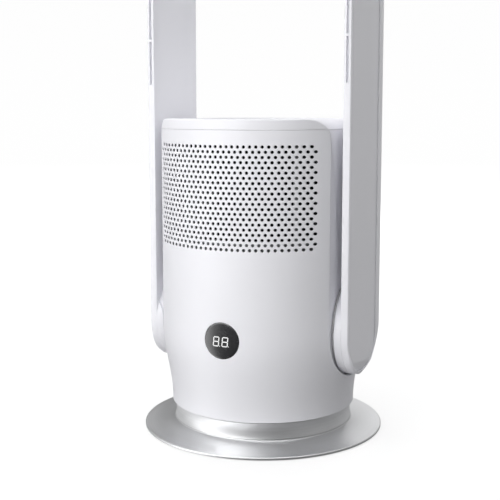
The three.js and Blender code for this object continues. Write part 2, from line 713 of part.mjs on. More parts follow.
function turntable() {
  const rimR = BODY_LOW_R - SHELL_WALL - SEAT;
  const plate = turned([
    [HUB_BORE, TABLE_Z],
    [NECK_BORE - SWING_GAP, TABLE_Z],
    [NECK_BORE - SWING_GAP, BODY_BOTTOM],
    [rimR, BODY_BOTTOM],
    [rimR, BODY_BOTTOM + TABLE_RIM_T],
    [NECK_BORE - TABLE_T, BODY_BOTTOM + TABLE_RIM_T],
    [NECK_BORE - TABLE_T, TABLE_TOP],
    [HUB_BORE + HUB_WALL, TABLE_TOP],
    [HUB_BORE + HUB_WALL, TABLE_Z + BUSH_H],
    [HUB_BORE, TABLE_Z + BUSH_H],
  ]);
  const postZ = TABLE_TOP - PAST;
  const posts = Array.from({ length: POSTS }, (_, i) => {
    const angle = ((i + 0.5) * 2 * Math.PI) / POSTS;
    const reach = PLENUM_R - POST_INSET;
    const post = rod(POST_R, postZ, PLENUM_FLOOR - SEAT - postZ);
    return post.translate([reach * Math.cos(angle), reach * Math.sin(angle), 0]);
  });
  const pegX = BOARD_W / 2 - BOARD_PEG_R;
  const pegs = [-pegX, pegX].map((x) => {
    const peg = rod(BOARD_PEG_R, postZ, BOARD_PEG_H + PAST);
    return peg.translate([x, BOARD_Y, 0]);
  });
  const shaftHole = rod(PINION_STUB_R + 2 * RUN, 0, FAR).translate([0, PINION_Y, 0]);
  piece("turntable", cut(join(plate, ...posts, ...pegs), shaftHole), grey);
  piece("turntable_bush", washer(BUSH_R, BUSH_R + BUSH_WALL, TABLE_Z, BUSH_H, MEDIUM), acetal);

  const boardZ = TABLE_TOP + BOARD_PEG_H + SEAT;
  const boardBack = BOARD_Y - BOARD_D / 2;
  const board = box(-BOARD_W / 2, BOARD_W / 2, boardBack, boardBack + BOARD_D, boardZ, boardZ + BOARD_T);
  piece("control_board", board, green);
}

// ---------- air path ----------

function plenum() {
  const inner = PLENUM_R - PLENUM_WALL;
  const can = rod(PLENUM_R, PLENUM_FLOOR, PLENUM_TOP - PLENUM_FLOOR, MEDIUM);
  const spouts = [-1, 1].map((side) => pivotRod(SPOUT_R, 0, SPOUT_END, side));
  const bores = [-1, 1].map((side) => pivotRod(SPOUT_R - SPOUT_WALL, 0, FAR, side));
  const air = rod(inner, PLENUM_FLOOR + PLENUM_WALL, FAR, MEDIUM);
  piece("plenum_housing", cut(join(can, ...spouts), air, ...bores), grey);

  const ringR = inner - SEAT;
  const top = PLENUM_TOP;
  const bottom = top - DIFFUSER_H;
  const ring = washer(ringR - DIFFUSER_WALL, ringR, bottom, DIFFUSER_H, MEDIUM);
  const cup = turned([
    [MOTOR_R + SEAT, bottom],
    [DIFFUSER_CUP_R, bottom],
    [DIFFUSER_CUP_R, top],
    [DIFFUSER_CUP_R - DIFFUSER_WALL, top],
    [DIFFUSER_CUP_R - DIFFUSER_WALL, bottom + DIFFUSER_FLOOR_T],
    [MOTOR_R + SEAT, bottom + DIFFUSER_FLOOR_T],
  ], MEDIUM);
  const vanes = Array.from({ length: DIFFUSER_VANES }, (_, i) =>
    box(DIFFUSER_CUP_R - PAST, ringR - PAST, -DIFFUSER_WALL / 2, DIFFUSER_WALL / 2, bottom, top).rotate([
      0,
      0,
      (i * 360) / DIFFUSER_VANES,
    ]),
  );
  piece("diffuser", join(ring, cup, ...vanes), grey);

  const damperZ = bottom + DIFFUSER_FLOOR_T + SEAT;
  const damperR = DIFFUSER_CUP_R - DIFFUSER_WALL - SEAT;
  piece("motor_damper", washer(MOTOR_R + SEAT, damperR, damperZ, DAMPER_H, MEDIUM), rubber);
  const motorCan = rod(MOTOR_R, MOTOR_TOP - MOTOR_H, MOTOR_H, MEDIUM);
  const shaftRoom = rod(SHAFT_R + RUN, MOTOR_TOP - MOTOR_H + MOTOR_BACK_T, MOTOR_H);
  piece("motor", cut(motorCan, shaftRoom), steel);
}

// Points of [in from the wheel's edge, share of its height] as [radius, height].
const onWheel = (line, grow = 0) =>
  line.map(([inward, share]) => [WHEEL_R - inward + grow, WHEEL_Z + (WHEEL_TOP - WHEEL_Z) * share]);

// Inner wall of the shroud, from the wheel's foot to its eye, and the hub, from its foot to its nose.
const shroudLine = (grow) => onWheel(SHROUD_LINE, grow);
const hubLine = () => [...onWheel(HUB_LINE), [WHEEL_NOSE_R, WHEEL_NOSE_Z]];

// Radius of a line of [radius, height] points at a height.
function radiusAt(line, z) {
  const above = Math.max(1, line.findIndex(([, height]) => height >= z));
  const [[r0, z0], [r1, z1]] = [line[above - 1], line[above]];
  return r0 + ((r1 - r0) * (z - z0)) / (z1 - z0);
}

// A blade between hub and shroud that turns as it rises.
function blade(turn) {
  const foot = WHEEL_Z + PAST;
  const rise = WHEEL_NOSE_Z - PAST - foot;
  const places = [];
  for (let i = 0; i <= BLADE_STEPS; i++) {
    const z = foot + (rise * i) / BLADE_STEPS;
    const middle = THREE.MathUtils.degToRad(turn + (WHEEL_SWEEP * i) / BLADE_STEPS);
    const root = radiusAt(hubLine(), z) - BLADE_ROOT;
    const edge = radiusAt(shroudLine(-WHEEL_TIP_GAP), z);
    for (const [radius, hand] of [[root, -1], [edge, -1], [edge, 1], [root, 1]]) {
      const angle = middle + (hand * WHEEL_BLADE_T) / 2 / radius;
      places.push(radius * Math.cos(angle), radius * Math.sin(angle), z);
    }
  }
  return solid(loft(places, 4));
}

// Closed geometry through rings of `count` points each, with flat ends; rings run counter-clockwise going up.
// Opposite sides are split along the same diagonals, or the sides of a thin twisted blade would cross.
function loft(places, count) {
  const rings = places.length / 3 / count;
  const faces = [];
  for (let i = 0; i + 1 < rings; i++) {
    for (let j = 0; j < count; j++) {
      const a = i * count + j;
      const b = i * count + ((j + 1) % count);
      const firstHalf = j < count / 2;
      faces.push(a, b, firstHalf ? b + count : a + count);
      faces.push(firstHalf ? a : b, b + count, a + count);
    }
  }
  const last = (rings - 1) * count;
  for (let j = 1; j + 1 < count; j++) {
    faces.push(0, j + 1, j, last, last + j, last + j + 1);
  }
  const geometry = new THREE.BufferGeometry();
  geometry.setAttribute("position", new THREE.BufferAttribute(new Float32Array(places), 3));
  geometry.setIndex(faces);
  return geometry;
}

function fanWheel() {
  const bore = rod(SHAFT_R + SEAT, 0, FAR);
  const hub = turned([[0, WHEEL_Z], ...hubLine(), [0, WHEEL_NOSE_Z]], MEDIUM);
  const hollowR = WHEEL_HUB_R - WHEEL_WALL;
  const hollow = turned(
    [
      [0, WHEEL_Z - PAST],
      [hollowR, WHEEL_Z - PAST],
      [hollowR - HOLLOW_TAPER, WHEEL_Z + HOLLOW_H - HOLLOW_SHOULDER],
      [WHEEL_NOSE_R, WHEEL_Z + HOLLOW_H],
      [0, WHEEL_Z + HOLLOW_H],
    ],
    MEDIUM,
  );
  const blades = Array.from({ length: WHEEL_BLADES }, (_, i) => blade((i * 360) / WHEEL_BLADES));
  piece("impeller", cut(join(hub, ...blades), hollow, bore), acetal);
  const shaftBottom = MOTOR_TOP - MOTOR_H + MOTOR_BACK_T + SEAT;
  piece("motor_shaft", rod(SHAFT_R, shaftBottom, WHEEL_TOP + SHAFT_PROUD - shaftBottom), steel);
  piece("impeller_nut", nut(SHAFT_R + SEAT, WHEEL_NUT_R, WHEEL_NOSE_Z + SEAT, WHEEL_NUT_H), steel);

  const inside = shroudLine(0);
  const outside = shroudLine(SHROUD_WALL).reverse();
  const [footR, footZ] = outside.pop();
  const shroud = turned([
    [PLENUM_R, footZ],
    [PLENUM_R, footZ + SHROUD_WALL],
    [footR, footZ + SHROUD_WALL],
    ...outside.reverse(),
    ...inside.reverse(),
  ], MEDIUM);
  piece("impeller_shroud", shroud, grey);
}

function intakeDeck() {
  const plate = bodyInside.intersect(slab(DECK_Z, DECK_Z + INTAKE_DECK_T));
  const eye = turned([
    [0, DECK_Z - PAST],
    [EYE_R, DECK_Z - PAST],
    [EYE_R, DECK_Z],
    [EYE_R + EYE_LIP / 4, DECK_Z + INTAKE_DECK_T / 2],
    [EYE_R + EYE_LIP, DECK_Z + INTAKE_DECK_T + HAIR],
    [EYE_R + EYE_LIP, FAR],
    [0, FAR],
  ], MEDIUM);
  const throat = washer(EYE_R, EYE_R + SHROUD_WALL, WHEEL_TOP + SEAT, DECK_Z - WHEEL_TOP, MEDIUM);
  piece("intake_deck", join(cut(plate, eye), throat), grey);
}

// ---------- lid and filter ----------

function lid() {
  const cap = cut(bodyOuter, bodyForm(LID_TOP_T)).intersect(slab(LID_SEAM + SEAT, FAR));
  const pegs = Array.from({ length: LID_PEGS }, (_, i) => {
    const angle = (i * 2 * Math.PI) / LID_PEGS + Math.PI / 2;
    const reach = FILTER_BORE - LID_PEG_INSET;
    const z = FILTER_CAP_Z + SEAT;
    const peg = rod(LID_PEG_R, z, BODY_TOP - PAST - z);
    return peg.translate([reach * Math.cos(angle), reach * Math.sin(angle), 0]);
  });
  piece("top_lid", join(cap, ...pegs), white);

  const capDisc = rod(FILTER_R, FILTER_CAP_Z - FILTER_CAP_T, FILTER_CAP_T, MEDIUM);
  const endRing = washer(FILTER_BORE, FILTER_R, FILTER_RING_Z, FILTER_CAP_T, MEDIUM);
  const ribZ = FILTER_RING_Z + FILTER_CAP_T - PAST;
  const ribTop = FILTER_CAP_Z - FILTER_CAP_T + PAST;
  const ribR = FILTER_R - FILTER_RIB_INSET;
  const ribs = Array.from({ length: FILTER_RIBS }, (_, i) =>
    box(ribR - FILTER_RIB_T, ribR, -FILTER_RIB_W / 2, FILTER_RIB_W / 2, ribZ, ribTop).rotate([
      0,
      0,
      ((i + 0.5) * 360) / FILTER_RIBS,
    ]),
  );
  piece("filter_frame", join(capDisc, endRing, ...ribs), grey);

  // Pleated paper: a zigzag wall of even thickness, closed on itself.
  const mediaR = ribR - FILTER_RIB_T - SEAT;
  const zigzag = (outer) => {
    const points = [];
    for (let i = 0; i < 2 * PLEATS; i++) {
      const angle = (i * Math.PI) / PLEATS;
      const radius = outer - (i % 2) * PLEAT_DEPTH;
      points.push([radius * Math.cos(angle), radius * Math.sin(angle)]);
    }
    return points;
  };
  const mediaZ = FILTER_RING_Z + FILTER_CAP_T + SEAT;
  const mediaH = FILTER_CAP_Z - FILTER_CAP_T - SEAT - mediaZ;
  const media = cut(
    alongZ(zigzag(mediaR), mediaZ, mediaH),
    alongZ(zigzag(FILTER_BORE + PLEAT_DEPTH), mediaZ - PAST, mediaH + 2 * PAST),
  );
  piece("filter_media", media, paper);
  const gasketZ = DECK_Z + INTAKE_DECK_T + SEAT;
  piece("filter_gasket", washer(FILTER_BORE, FILTER_R, gasketZ, FILTER_SEAL_H, MEDIUM), rubber);
}

// ---------- hoop ----------

// A section of [distance from the middle plane, depth] points, carried up the right leg, over the arch and
// down the left leg. Sections run counter-clockwise.
function carried(section) {
  const bottom = PIVOT_Z - LEG_HALF_D - PAST;
  const angles = Array.from({ length: ARCH_STEPS + 1 }, (_, i) => (Math.PI * i) / ARCH_STEPS);
  const station = ([x, y], angle) => [x * Math.cos(angle), y, ARCH_Z + x * Math.sin(angle)];
  const rings = [
    section.map(([x, y]) => [x, y, bottom]),
    ...angles.map((angle) => section.map((point) => station(point, angle))),
    section.map(([x, y]) => [-x, y, bottom]),
  ];
  const count = section.length;
  const faces = [];
  for (let i = 0; i + 1 < rings.length; i++) {
    for (let j = 0; j < count; j++) {
      const a = i * count + j;
      const b = i * count + ((j + 1) % count);
      faces.push(a, b, b + count, a, b + count, a + count);
    }
  }
  const flat = section.map(([x, y]) => new THREE.Vector2(x, y));
  const last = (rings.length - 1) * count;
  for (const [a, b, c] of THREE.ShapeUtils.triangulateShape(flat, [])) {
    faces.push(a, c, b, last + a, last + b, last + c);
  }
  const geometry = new THREE.BufferGeometry();
  geometry.setAttribute("position", new THREE.BufferAttribute(new Float32Array(rings.flat(2)), 3));
  geometry.setIndex(faces);
  return solid(geometry);
}

// Side view of a leg: straight up, with a round lower end about the pivot.
const legOutline = (radius, half = FAR) => [
  [half, HOOP_TOP + FAR],
  [-half, HOOP_TOP + FAR],
  [-half, PIVOT_Z],
  ...arc(0, PIVOT_Z, radius, 180, 360, END_STEPS),
  [half, PIVOT_Z],
];

// Outer skin's curve in section, from its front edge to its back edge, moved in by inset.
function skinLine(inset) {
  const frontY = -LEG_HALF_D + STRIP_T + SEAT;
  const curve = new THREE.QuadraticBezierCurve(
    new THREE.Vector2(SKIN_FRONT_X - inset, frontY),
    new THREE.Vector2(SKIN_FRONT_X + SKIN_BULGE - inset, 0),
    new THREE.Vector2(SKIN_BACK_X - inset, SKIN_BACK_Y),
  );
  return curve.getPoints(SKIN_STEPS).map((p) => [p.x, p.y]);
}

function hoop() {
  const round = alongX(legOutline(LEG_HALF_D), -FAR, 2 * FAR);
  const frontY = -LEG_HALF_D + STRIP_T;
  const wallX = LEG_X + LEG_WALL;

  const strip = carried([
    [LEG_X, -LEG_HALF_D],
    [LEG_X + LEG_FRONT_W, -LEG_HALF_D],
    [SKIN_FRONT_X, -LEG_HALF_D + STRIP_BEVEL],
    [SKIN_FRONT_X, frontY],
    [LEG_X, frontY],
  ]);
  const slot = (side, z) => {
    const x = side * SLOT_X;
    return box(x - SLOT_W / 2, x + SLOT_W / 2, -LEG_HALF_D - PAST, frontY + PAST, z, z + SLOT_L);
  };
  const slots = [-1, 1].flatMap((side) =>
    Array.from({ length: SLOTS_A_LEG }, (_, i) => slot(side, SLOT_FIRST_Z + i * SLOT_PITCH)),
  );
  piece("front_trim", cut(strip.intersect(round), ...slots), white);

  // Back rim in section: out from the inner wall's back edge, round, and forward to the skin's back edge.
  const rimFront = SKIN_BACK_Y + SEAT;
  const atBack = (line) => line.map(([inward, forward]) => [LEG_OUT - inward, LEG_HALF_D - forward]);
  const rimEnds = [[LEG_X, LEG_HALF_D - RIM_CORNER], [SKIN_BACK_X + RIM_STEP, rimFront]];
  const rim = [rimEnds[0], ...atBack(RIM_BACK), rimEnds[1]].reverse();
  const duct = carried([
    [LEG_X, frontY + SEAT],
    [wallX, frontY + SEAT],
    [wallX, LEG_HALF_D - RIM_HOLLOW_CORNER],
    ...atBack(RIM_HOLLOW),
    [SKIN_BACK_X - LEG_WALL, rimFront],
    ...rim,
  ]);
  const whole = carried([[LEG_X, frontY + SEAT], ...skinLine(0), ...rim]);
  const skinRoom = alongX(legOutline(SKIN_END_R + SEAT), -FAR, 2 * FAR);
  const below = slab(0, PIVOT_Z - END_RIM_DROP);
  const endRim = cut(whole.intersect(round), skinRoom).intersect(below);
  const bores = [-1, 1].map((side) => pivotRod(BOSS_BORE, 0, wallX + PAST, side, ROUND));
  piece("duct_frame", cut(join(duct.intersect(round), endRim), ...bores), white);

  const skin = carried([...skinLine(0), ...skinLine(LEG_WALL).reverse()]).intersect(
    alongX(legOutline(SKIN_END_R), -FAR, 2 * FAR),
  );
  const legs = slab(0, ARCH_Z - SEAT / 2);
  const high = slab(ARCH_Z + SEAT / 2, HOOP_TOP + FAR);
  piece("leg_panel_left", skin.intersect(legs).intersect(box(-FAR, 0, -FAR, FAR, 0, 2 * HOOP_TOP)), white);
  piece("leg_panel_right", skin.intersect(legs).intersect(box(0, FAR, -FAR, FAR, 0, 2 * HOOP_TOP)), white);
  piece("arch_panel", skin.intersect(high), white);
}

// ---------- pivots ----------

function pivot(side) {
  const name = (word) => `pivot_${word}_${side < 0 ? "left" : "right"}`;
  const ringX = FLAT_X + SEAT;
  const bossX = ringX + FRICTION_RING_T + SEAT;
  const legX = LEG_X - SEAT;
  const boss = turnedOnPivot(
    [
      [BOSS_BORE, bossX],
      [BOSS_R - BOSS_BEVEL, bossX],
      [BOSS_R, bossX + BOSS_BEVEL],
      [BOSS_R, legX],
      [BOSS_BORE, legX],
    ],
    side,
  );
  piece(name("boss"), boss, white);
  const ringR = BOSS_R - FRICTION_RING_INSET;
  const ring = pivotRing(ringR - FRICTION_RING_W, ringR, ringX, FRICTION_RING_T, side, MEDIUM);
  piece(name("friction_ring"), ring, rubber);

  const bushBore = SPOUT_R + SEAT;
  const flangeX = CHEEK_INNER_X - SEAT - BUSH_FLANGE_T;
  const bushEnd = LEG_X + LEG_WALL;
  const bush = turnedOnPivot(
    [
      [bushBore, flangeX],
      [BUSH_FLANGE_R, flangeX],
      [BUSH_FLANGE_R, flangeX + BUSH_FLANGE_T],
      [PIVOT_BUSH_R, flangeX + BUSH_FLANGE_T],
      [PIVOT_BUSH_R, bushEnd],
      [bushBore, bushEnd],
    ],
    side,
    MEDIUM,
  );
  piece(name("bush"), bush, acetal);
  const retainerR = PIVOT_BUSH_R + RETAINER_W;
  const retainer = pivotRing(bushBore, retainerR, bushEnd + SEAT, RETAINER_T, side, MEDIUM);
  piece(name("retaining_ring"), retainer, steel);
}

base();
swingDrive();
turntable();
shells();
display();
plenum();
fanWheel();
intakeDeck();
lid();
hoop();
pivot(-1);
pivot(1);

export default group;
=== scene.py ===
"""A bladeless fan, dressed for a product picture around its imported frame.

Metres, +Z up. The front, with the display, faces -Y. Left and right are those of someone who looks
at the front. Every new surface is worked out on a numpy grid and sits where the frame says.
"""

import json
import math

import bmesh
import bpy
import numpy as np
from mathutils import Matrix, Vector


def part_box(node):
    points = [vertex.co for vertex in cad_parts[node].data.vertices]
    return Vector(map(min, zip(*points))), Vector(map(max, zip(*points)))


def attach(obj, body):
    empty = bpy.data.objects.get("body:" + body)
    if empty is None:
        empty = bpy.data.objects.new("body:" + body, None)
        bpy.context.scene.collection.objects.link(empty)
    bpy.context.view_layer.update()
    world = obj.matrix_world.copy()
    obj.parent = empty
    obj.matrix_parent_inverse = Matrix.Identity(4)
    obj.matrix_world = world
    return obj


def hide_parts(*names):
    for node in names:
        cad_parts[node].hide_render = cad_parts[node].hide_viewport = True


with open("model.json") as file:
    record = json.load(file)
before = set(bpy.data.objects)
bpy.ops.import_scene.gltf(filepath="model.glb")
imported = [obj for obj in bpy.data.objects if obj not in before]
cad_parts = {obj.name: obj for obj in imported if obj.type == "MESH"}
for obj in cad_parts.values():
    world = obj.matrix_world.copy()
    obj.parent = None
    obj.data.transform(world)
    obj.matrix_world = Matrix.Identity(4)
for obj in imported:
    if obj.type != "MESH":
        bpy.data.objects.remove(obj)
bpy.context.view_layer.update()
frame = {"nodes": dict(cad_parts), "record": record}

bl_info = {
    "name": "Bladeless Fan",
    "version": (1, 0, 0),
    "blender": (4, 5, 0),
    "location": "View3D > Sidebar > Fan",
    "description": "Builds the outside of a bladeless fan and its studio around the packed frame",
    "category": "Add Mesh",
}

# ---------- sizes that come from the frame ----------

FOOT_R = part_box("base_disc")[1].x
FOOT_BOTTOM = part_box("base_disc")[0].z
COLLAR_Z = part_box("base_disc")[1].z
NECK_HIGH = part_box("neck_ring")[1]
BODY_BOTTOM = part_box("front_shell")[0].z
SEAM_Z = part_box("front_shell")[1].z
BODY_R = -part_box("front_shell")[0].y
BODY_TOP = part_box("top_lid")[1].z
CHEEK_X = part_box("side_panel_right")[1].x
LEG_D = -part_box("front_trim")[0].y
HOOP_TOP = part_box("duct_frame")[1].z
HOOP_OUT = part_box("duct_frame")[1].x
PIVOT_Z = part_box("duct_frame")[0].z + LEG_D

# ---------- sizes of this object's forms, in metres, and counts ----------

LOW_R = 0.0919
TAPER_FROM, TAPER_TO = 0.030, 0.102
SHOULDER = 0.016
WALL = 0.0024
HAIRLINE = 0.00012
WELD = 2e-6
POCKET_R = math.sqrt(BODY_R**2 - CHEEK_X**2)
POCKET_DROP = 0.0482
SHELL_LIP = 0.0006
LID_EDGE = 0.0015
PEG_R, PEG_EDGE, PEG_REACH = 0.004, 0.0005, 0.055
HOLE_PITCH = 0.00536
HOLE_DEPTH, HOLE_FLARE = 0.0009, 0.0007
ROW_PITCH = 0.00467
ROWS = 21
LONG_ROW = 30
TOP_ROW_Z = 0.2836
COLUMN = HOLE_PITCH / 4
CELL_COLUMNS = 2 * LONG_ROW
DISPLAY_Z = 0.105
BODY_MIDDLE_Z = 0.25
LID_TOP = BODY_TOP - 0.0022
LENS_R = 0.0174
PATCH_COLUMNS = 20
DIGIT_WIDTH, DIGIT_GAP, DIGIT_SLANT, DIGIT_DROP, DIGIT_PROUD = 0.0062, 0.0002, 0.09, 0.0007, 0.00016
DIGIT_PLACES = (-0.0052, 0.0037)
DOT_R, DOT_PLACES = 0.00045, (-0.0012, 0.0075)
LEG_X = 0.0973
STRIP_X = 0.1041
SKIN_X = 0.1053
SKIN_FRONT_Y, SKIN_BACK_Y = -0.0419, 0.0234
SKIN_BACK_X = 0.1105
SKIN_SWELL_X = 0.1093
SKIN_ROLL, SKIN_ROLL_Y = 0.0009, 0.003
SKIN_MIDDLE_Y = (SKIN_FRONT_Y + SKIN_BACK_Y) / 2
SKIN_END_R = (SKIN_BACK_Y - SKIN_FRONT_Y) / 2
SKIN_END_Z = 0.0992
SKIN_UNDER, SKIN_THICK, SKIN_GAP = 0.0016, 0.0012, 0.0003
SLOT_X, SLOT_W, SLOT_L, SLOT_PITCH, SLOT_Z = 0.1008, 0.0026, 0.0413, 0.0437, 0.341
SLOTS = 12
ARCH_Z = HOOP_TOP - HOOP_OUT
NECK_R = 0.0893
WAIST = 0.0009
INLET_HALF = 0.009
RIM_HEIGHT, RIM_ROUND, FILLET, UNDER_R = 0.0024, 0.0012, 0.0010, 0.1063
BOSS_R = 0.044
APRON_RISE = math.radians(23.4)
BOSS_BORE = 0.0343
SIDES = (("left", -1), ("right", 1))

# the lathe's rings per metre, as the scale of their noise
FOOT_RINGS, NECK_RINGS = 5200.0, 4200.0

# the studio: its bowl in metres, its air's light, and the camera with its angles in degrees
BOWL_FLOOR, BOWL_BEND, BOWL_DOME = 5.0, 2.0, 4.0
AIR_LIGHT = 0.15
CAMERA_LENS = 69.51
CAMERA_PLACE = (0.3696, -0.8893, 0.3166)
CAMERA_DOWN, CAMERA_AROUND = 7.10, 23.37


# ---------- what a user would change ----------


def length(name, default, description):
    """A length in metres that shows in the panel."""
    return bpy.props.FloatProperty(
        name=name, description=description, default=default, min=0.0, unit="LENGTH", precision=4
    )


def colour(name, default, description):
    """A colour, linear."""
    return bpy.props.FloatVectorProperty(
        name=name, description=description, default=default, size=3, min=0.0, max=1.0, subtype="COLOR"
    )


class FanSizes(bpy.types.PropertyGroup):
    hole_radius: length("Hole radius", 0.0015, "Radius of an intake hole")
    hole_lip: length("Hole lip", 0.00022, "Width of the small bevel round each intake hole")
    slot_depth: length("Slot depth", 0.0030, "How deep the air slots of the hoop are sunk")
    groove: length("Skin groove", 0.0006, "Width of the groove behind the hoop's outer skin")
    stroke: length("Digit stroke", 0.0009, "Width of a digit's segments")
    digit_height: length("Digit height", 0.0094, "Height of the display's digits")
    camera_shift: bpy.props.FloatProperty(
        name="Lens shift", description="Upward lens shift of the camera", default=-0.04
    )


class FanColours(bpy.types.PropertyGroup):
    white: colour("White plastic", (0.855, 0.855, 0.892), "The moulded body, lid and hoop")
    metal: colour("Spun metal", (0.80, 0.805, 0.815), "The foot and the neck")
    glass: colour("Display glass", (0.010, 0.010, 0.012), "The dark display window")
    digits: colour("Digits", (1.0, 1.0, 1.0), "The lit digits")
    floor: colour("Floor", (0.3, 0.3, 0.3), "The studio's floor")


# ---------- numpy surfaces ----------


def smoothstep(t):
    """Zero below 0, one above 1, and 3t^2 - 2t^3 between them."""
    t = np.clip(t, 0.0, 1.0)
    return t * t * (3.0 - 2.0 * t)


def sheet_faces(rows, columns, start=0, wrap_rows=False, wrap_columns=False):
    """Quads of a rows x columns grid of points numbered row by row, closed round where it wraps."""
    i = np.arange(rows if wrap_rows else rows - 1)[:, None]
    j = np.arange(columns if wrap_columns else columns - 1)[None, :]
    i2, j2 = (i + 1) % rows, (j + 1) % columns
    corners = [i * columns + j, i * columns + j2, i2 * columns + j2, i2 * columns + j]
    return np.stack([np.broadcast_to(c, (i.size, j.size)) for c in corners], -1).reshape(-1, 4) + start


class Surface:
    """Gathers grids of points and their quads, and welds them into one closed mesh."""

    def __init__(self):
        self.points, self.faces, self.count = [], [], 0

    def grid(self, points, keep=None, wrap_rows=False, wrap_columns=False):
        """Adds a grid of points of shape (rows, columns, 3). keep is a mask of its quads."""
        rows, columns = points.shape[:2]
        faces = sheet_faces(rows, columns, self.count, wrap_rows, wrap_columns)
        if keep is not None:
            faces = faces[np.asarray(keep).reshape(-1)]
        self.faces.append(faces)
        self.points.append(points.reshape(-1, 3))
        self.count += rows * columns
        return self

    def cells(self, points):
        """Adds many alike rings at once: points of shape (cell, ring, place round it, 3)."""
        cells, rings, around = points.shape[:3]
        one = sheet_faces(rings, around, wrap_columns=True)
        faces = one[None] + (np.arange(cells) * rings * around)[:, None, None] + self.count
        self.faces.append(faces.reshape(-1, 4))
        self.points.append(points.reshape(-1, 3))
        self.count += cells * rings * around

    def mesh(self, name, sharp=32.0):
        """The grids welded into one closed mesh with its faces outwards.

        It is smooth except where two faces meet at more than sharp degrees."""
        mesh = bpy.data.meshes.new(name)
        mesh.from_pydata(np.concatenate(self.points), [], np.concatenate(self.faces).tolist())
        welded = bmesh.new()
        welded.from_mesh(mesh)
        bmesh.ops.remove_doubles(welded, verts=welded.verts, dist=WELD)
        bmesh.ops.recalc_face_normals(welded, faces=welded.faces)
        welded.to_mesh(mesh)
        welded.free()
        mesh.polygons.foreach_set("use_smooth", np.ones(len(mesh.polygons), bool))
        mesh.set_sharp_from_angle(angle=math.radians(sharp))
        mesh.update()
        return mesh


def thick_sheet(outer, inner):
    """A closed sheet between two grids of the same shape: both faces and the strips round their edges."""
    made = Surface().grid(outer).grid(inner)
    for end in (0, -1):
        made.grid(np.stack([outer[end], inner[end]])).grid(np.stack([outer[:, end], inner[:, end]]))
    return made


def places(x, y, z):
    """Points from their three coordinates, each shared out to the shape of all three."""
    return np.stack(np.broadcast_arrays(x, y, z), -1)


def full_turn(count):
    """Evenly spaced angles of a whole turn, without the last, which is the first again."""
    return np.linspace(0, 2 * np.pi, count, endpoint=False)


def turned(profile, sides=192, axis="z", centre=0.0, sign=1):
    """A closed profile of (radius, height) carried round the Z axis, or round the pivots' X axis."""
    radius, height = np.array(profile, float).T
    angle = full_turn(sides)[:, None]
    a, b = radius * np.cos(angle), radius * np.sin(angle)
    points = places(a, b, height) if axis == "z" else places(sign * height, a, centre + b)
    return Surface().grid(points, wrap_rows=True, wrap_columns=True)


def rounded(corners, radius, steps):
    """A closed outline with each corner replaced by an arc-like curve that starts radius away from it.

    The curve is quadratic, with the corner as its middle."""
    corners = np.array(corners, float)
    out = []
    for before, here, after in zip(np.roll(corners, 1, 0), corners, np.roll(corners, -1, 0)):
        back, ahead = before - here, after - here
        a = here + back * min(radius / np.linalg.norm(back), 0.49)
        b = here + ahead * min(radius / np.linalg.norm(ahead), 0.49)
        t = np.linspace(0, 1, steps + 1)[:, None]
        out.append((1 - t) ** 2 * a + 2 * t * (1 - t) * here + t**2 * b)
    return np.concatenate(out)


def piece(mesh, body, slot, material, *nodes):
    """Puts a mesh into the scene, riding on a body and standing for CAD nodes."""
    made = bpy.data.objects.new(mesh.name, mesh)
    bpy.context.scene.collection.objects.link(made)
    made.data.materials.append(material)
    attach(made, body)
    if nodes:
        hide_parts(*nodes)


def white_piece(mesh, body, *nodes):
    """A piece of the fan's white plastic."""
    piece(mesh, body, "white_plastic", white_plastic(), *nodes)


# ---------- materials ----------


class Value:
    """A number that changes over a surface. Sums and products of it add Math nodes."""

    def __init__(self, finish, socket):
        self.finish, self.socket = finish, socket

    def _maths(self, operation, *others):
        made = self.finish.node("ShaderNodeMath", {"operation": operation}, dict(enumerate(others)))
        return Value(self.finish, made.outputs[0])

    def __add__(self, other):
        return self._maths("ADD", self, other)

    __radd__ = __add__

    def __sub__(self, other):
        return self._maths("SUBTRACT", self, other)

    def __rsub__(self, other):
        return self._maths("SUBTRACT", other, self)

    def __mul__(self, other):
        return self._maths("MULTIPLY", self, other)

    __rmul__ = __mul__

    def sine(self):
        return self._maths("SINE", self)

    def root(self):
        return self._maths("SQRT", self)

    def spread(self, low, high, to_low=0.0, to_high=1.0):
        """Carries low..high to to_low..to_high and holds it there."""
        inputs = {"Value": self, "From Min": low, "From Max": high, "To Min": to_low, "To Max": to_high}
        made = self.finish.node("ShaderNodeMapRange", {"clamp": True}, inputs)
        return Value(self.finish, made.outputs["Result"])


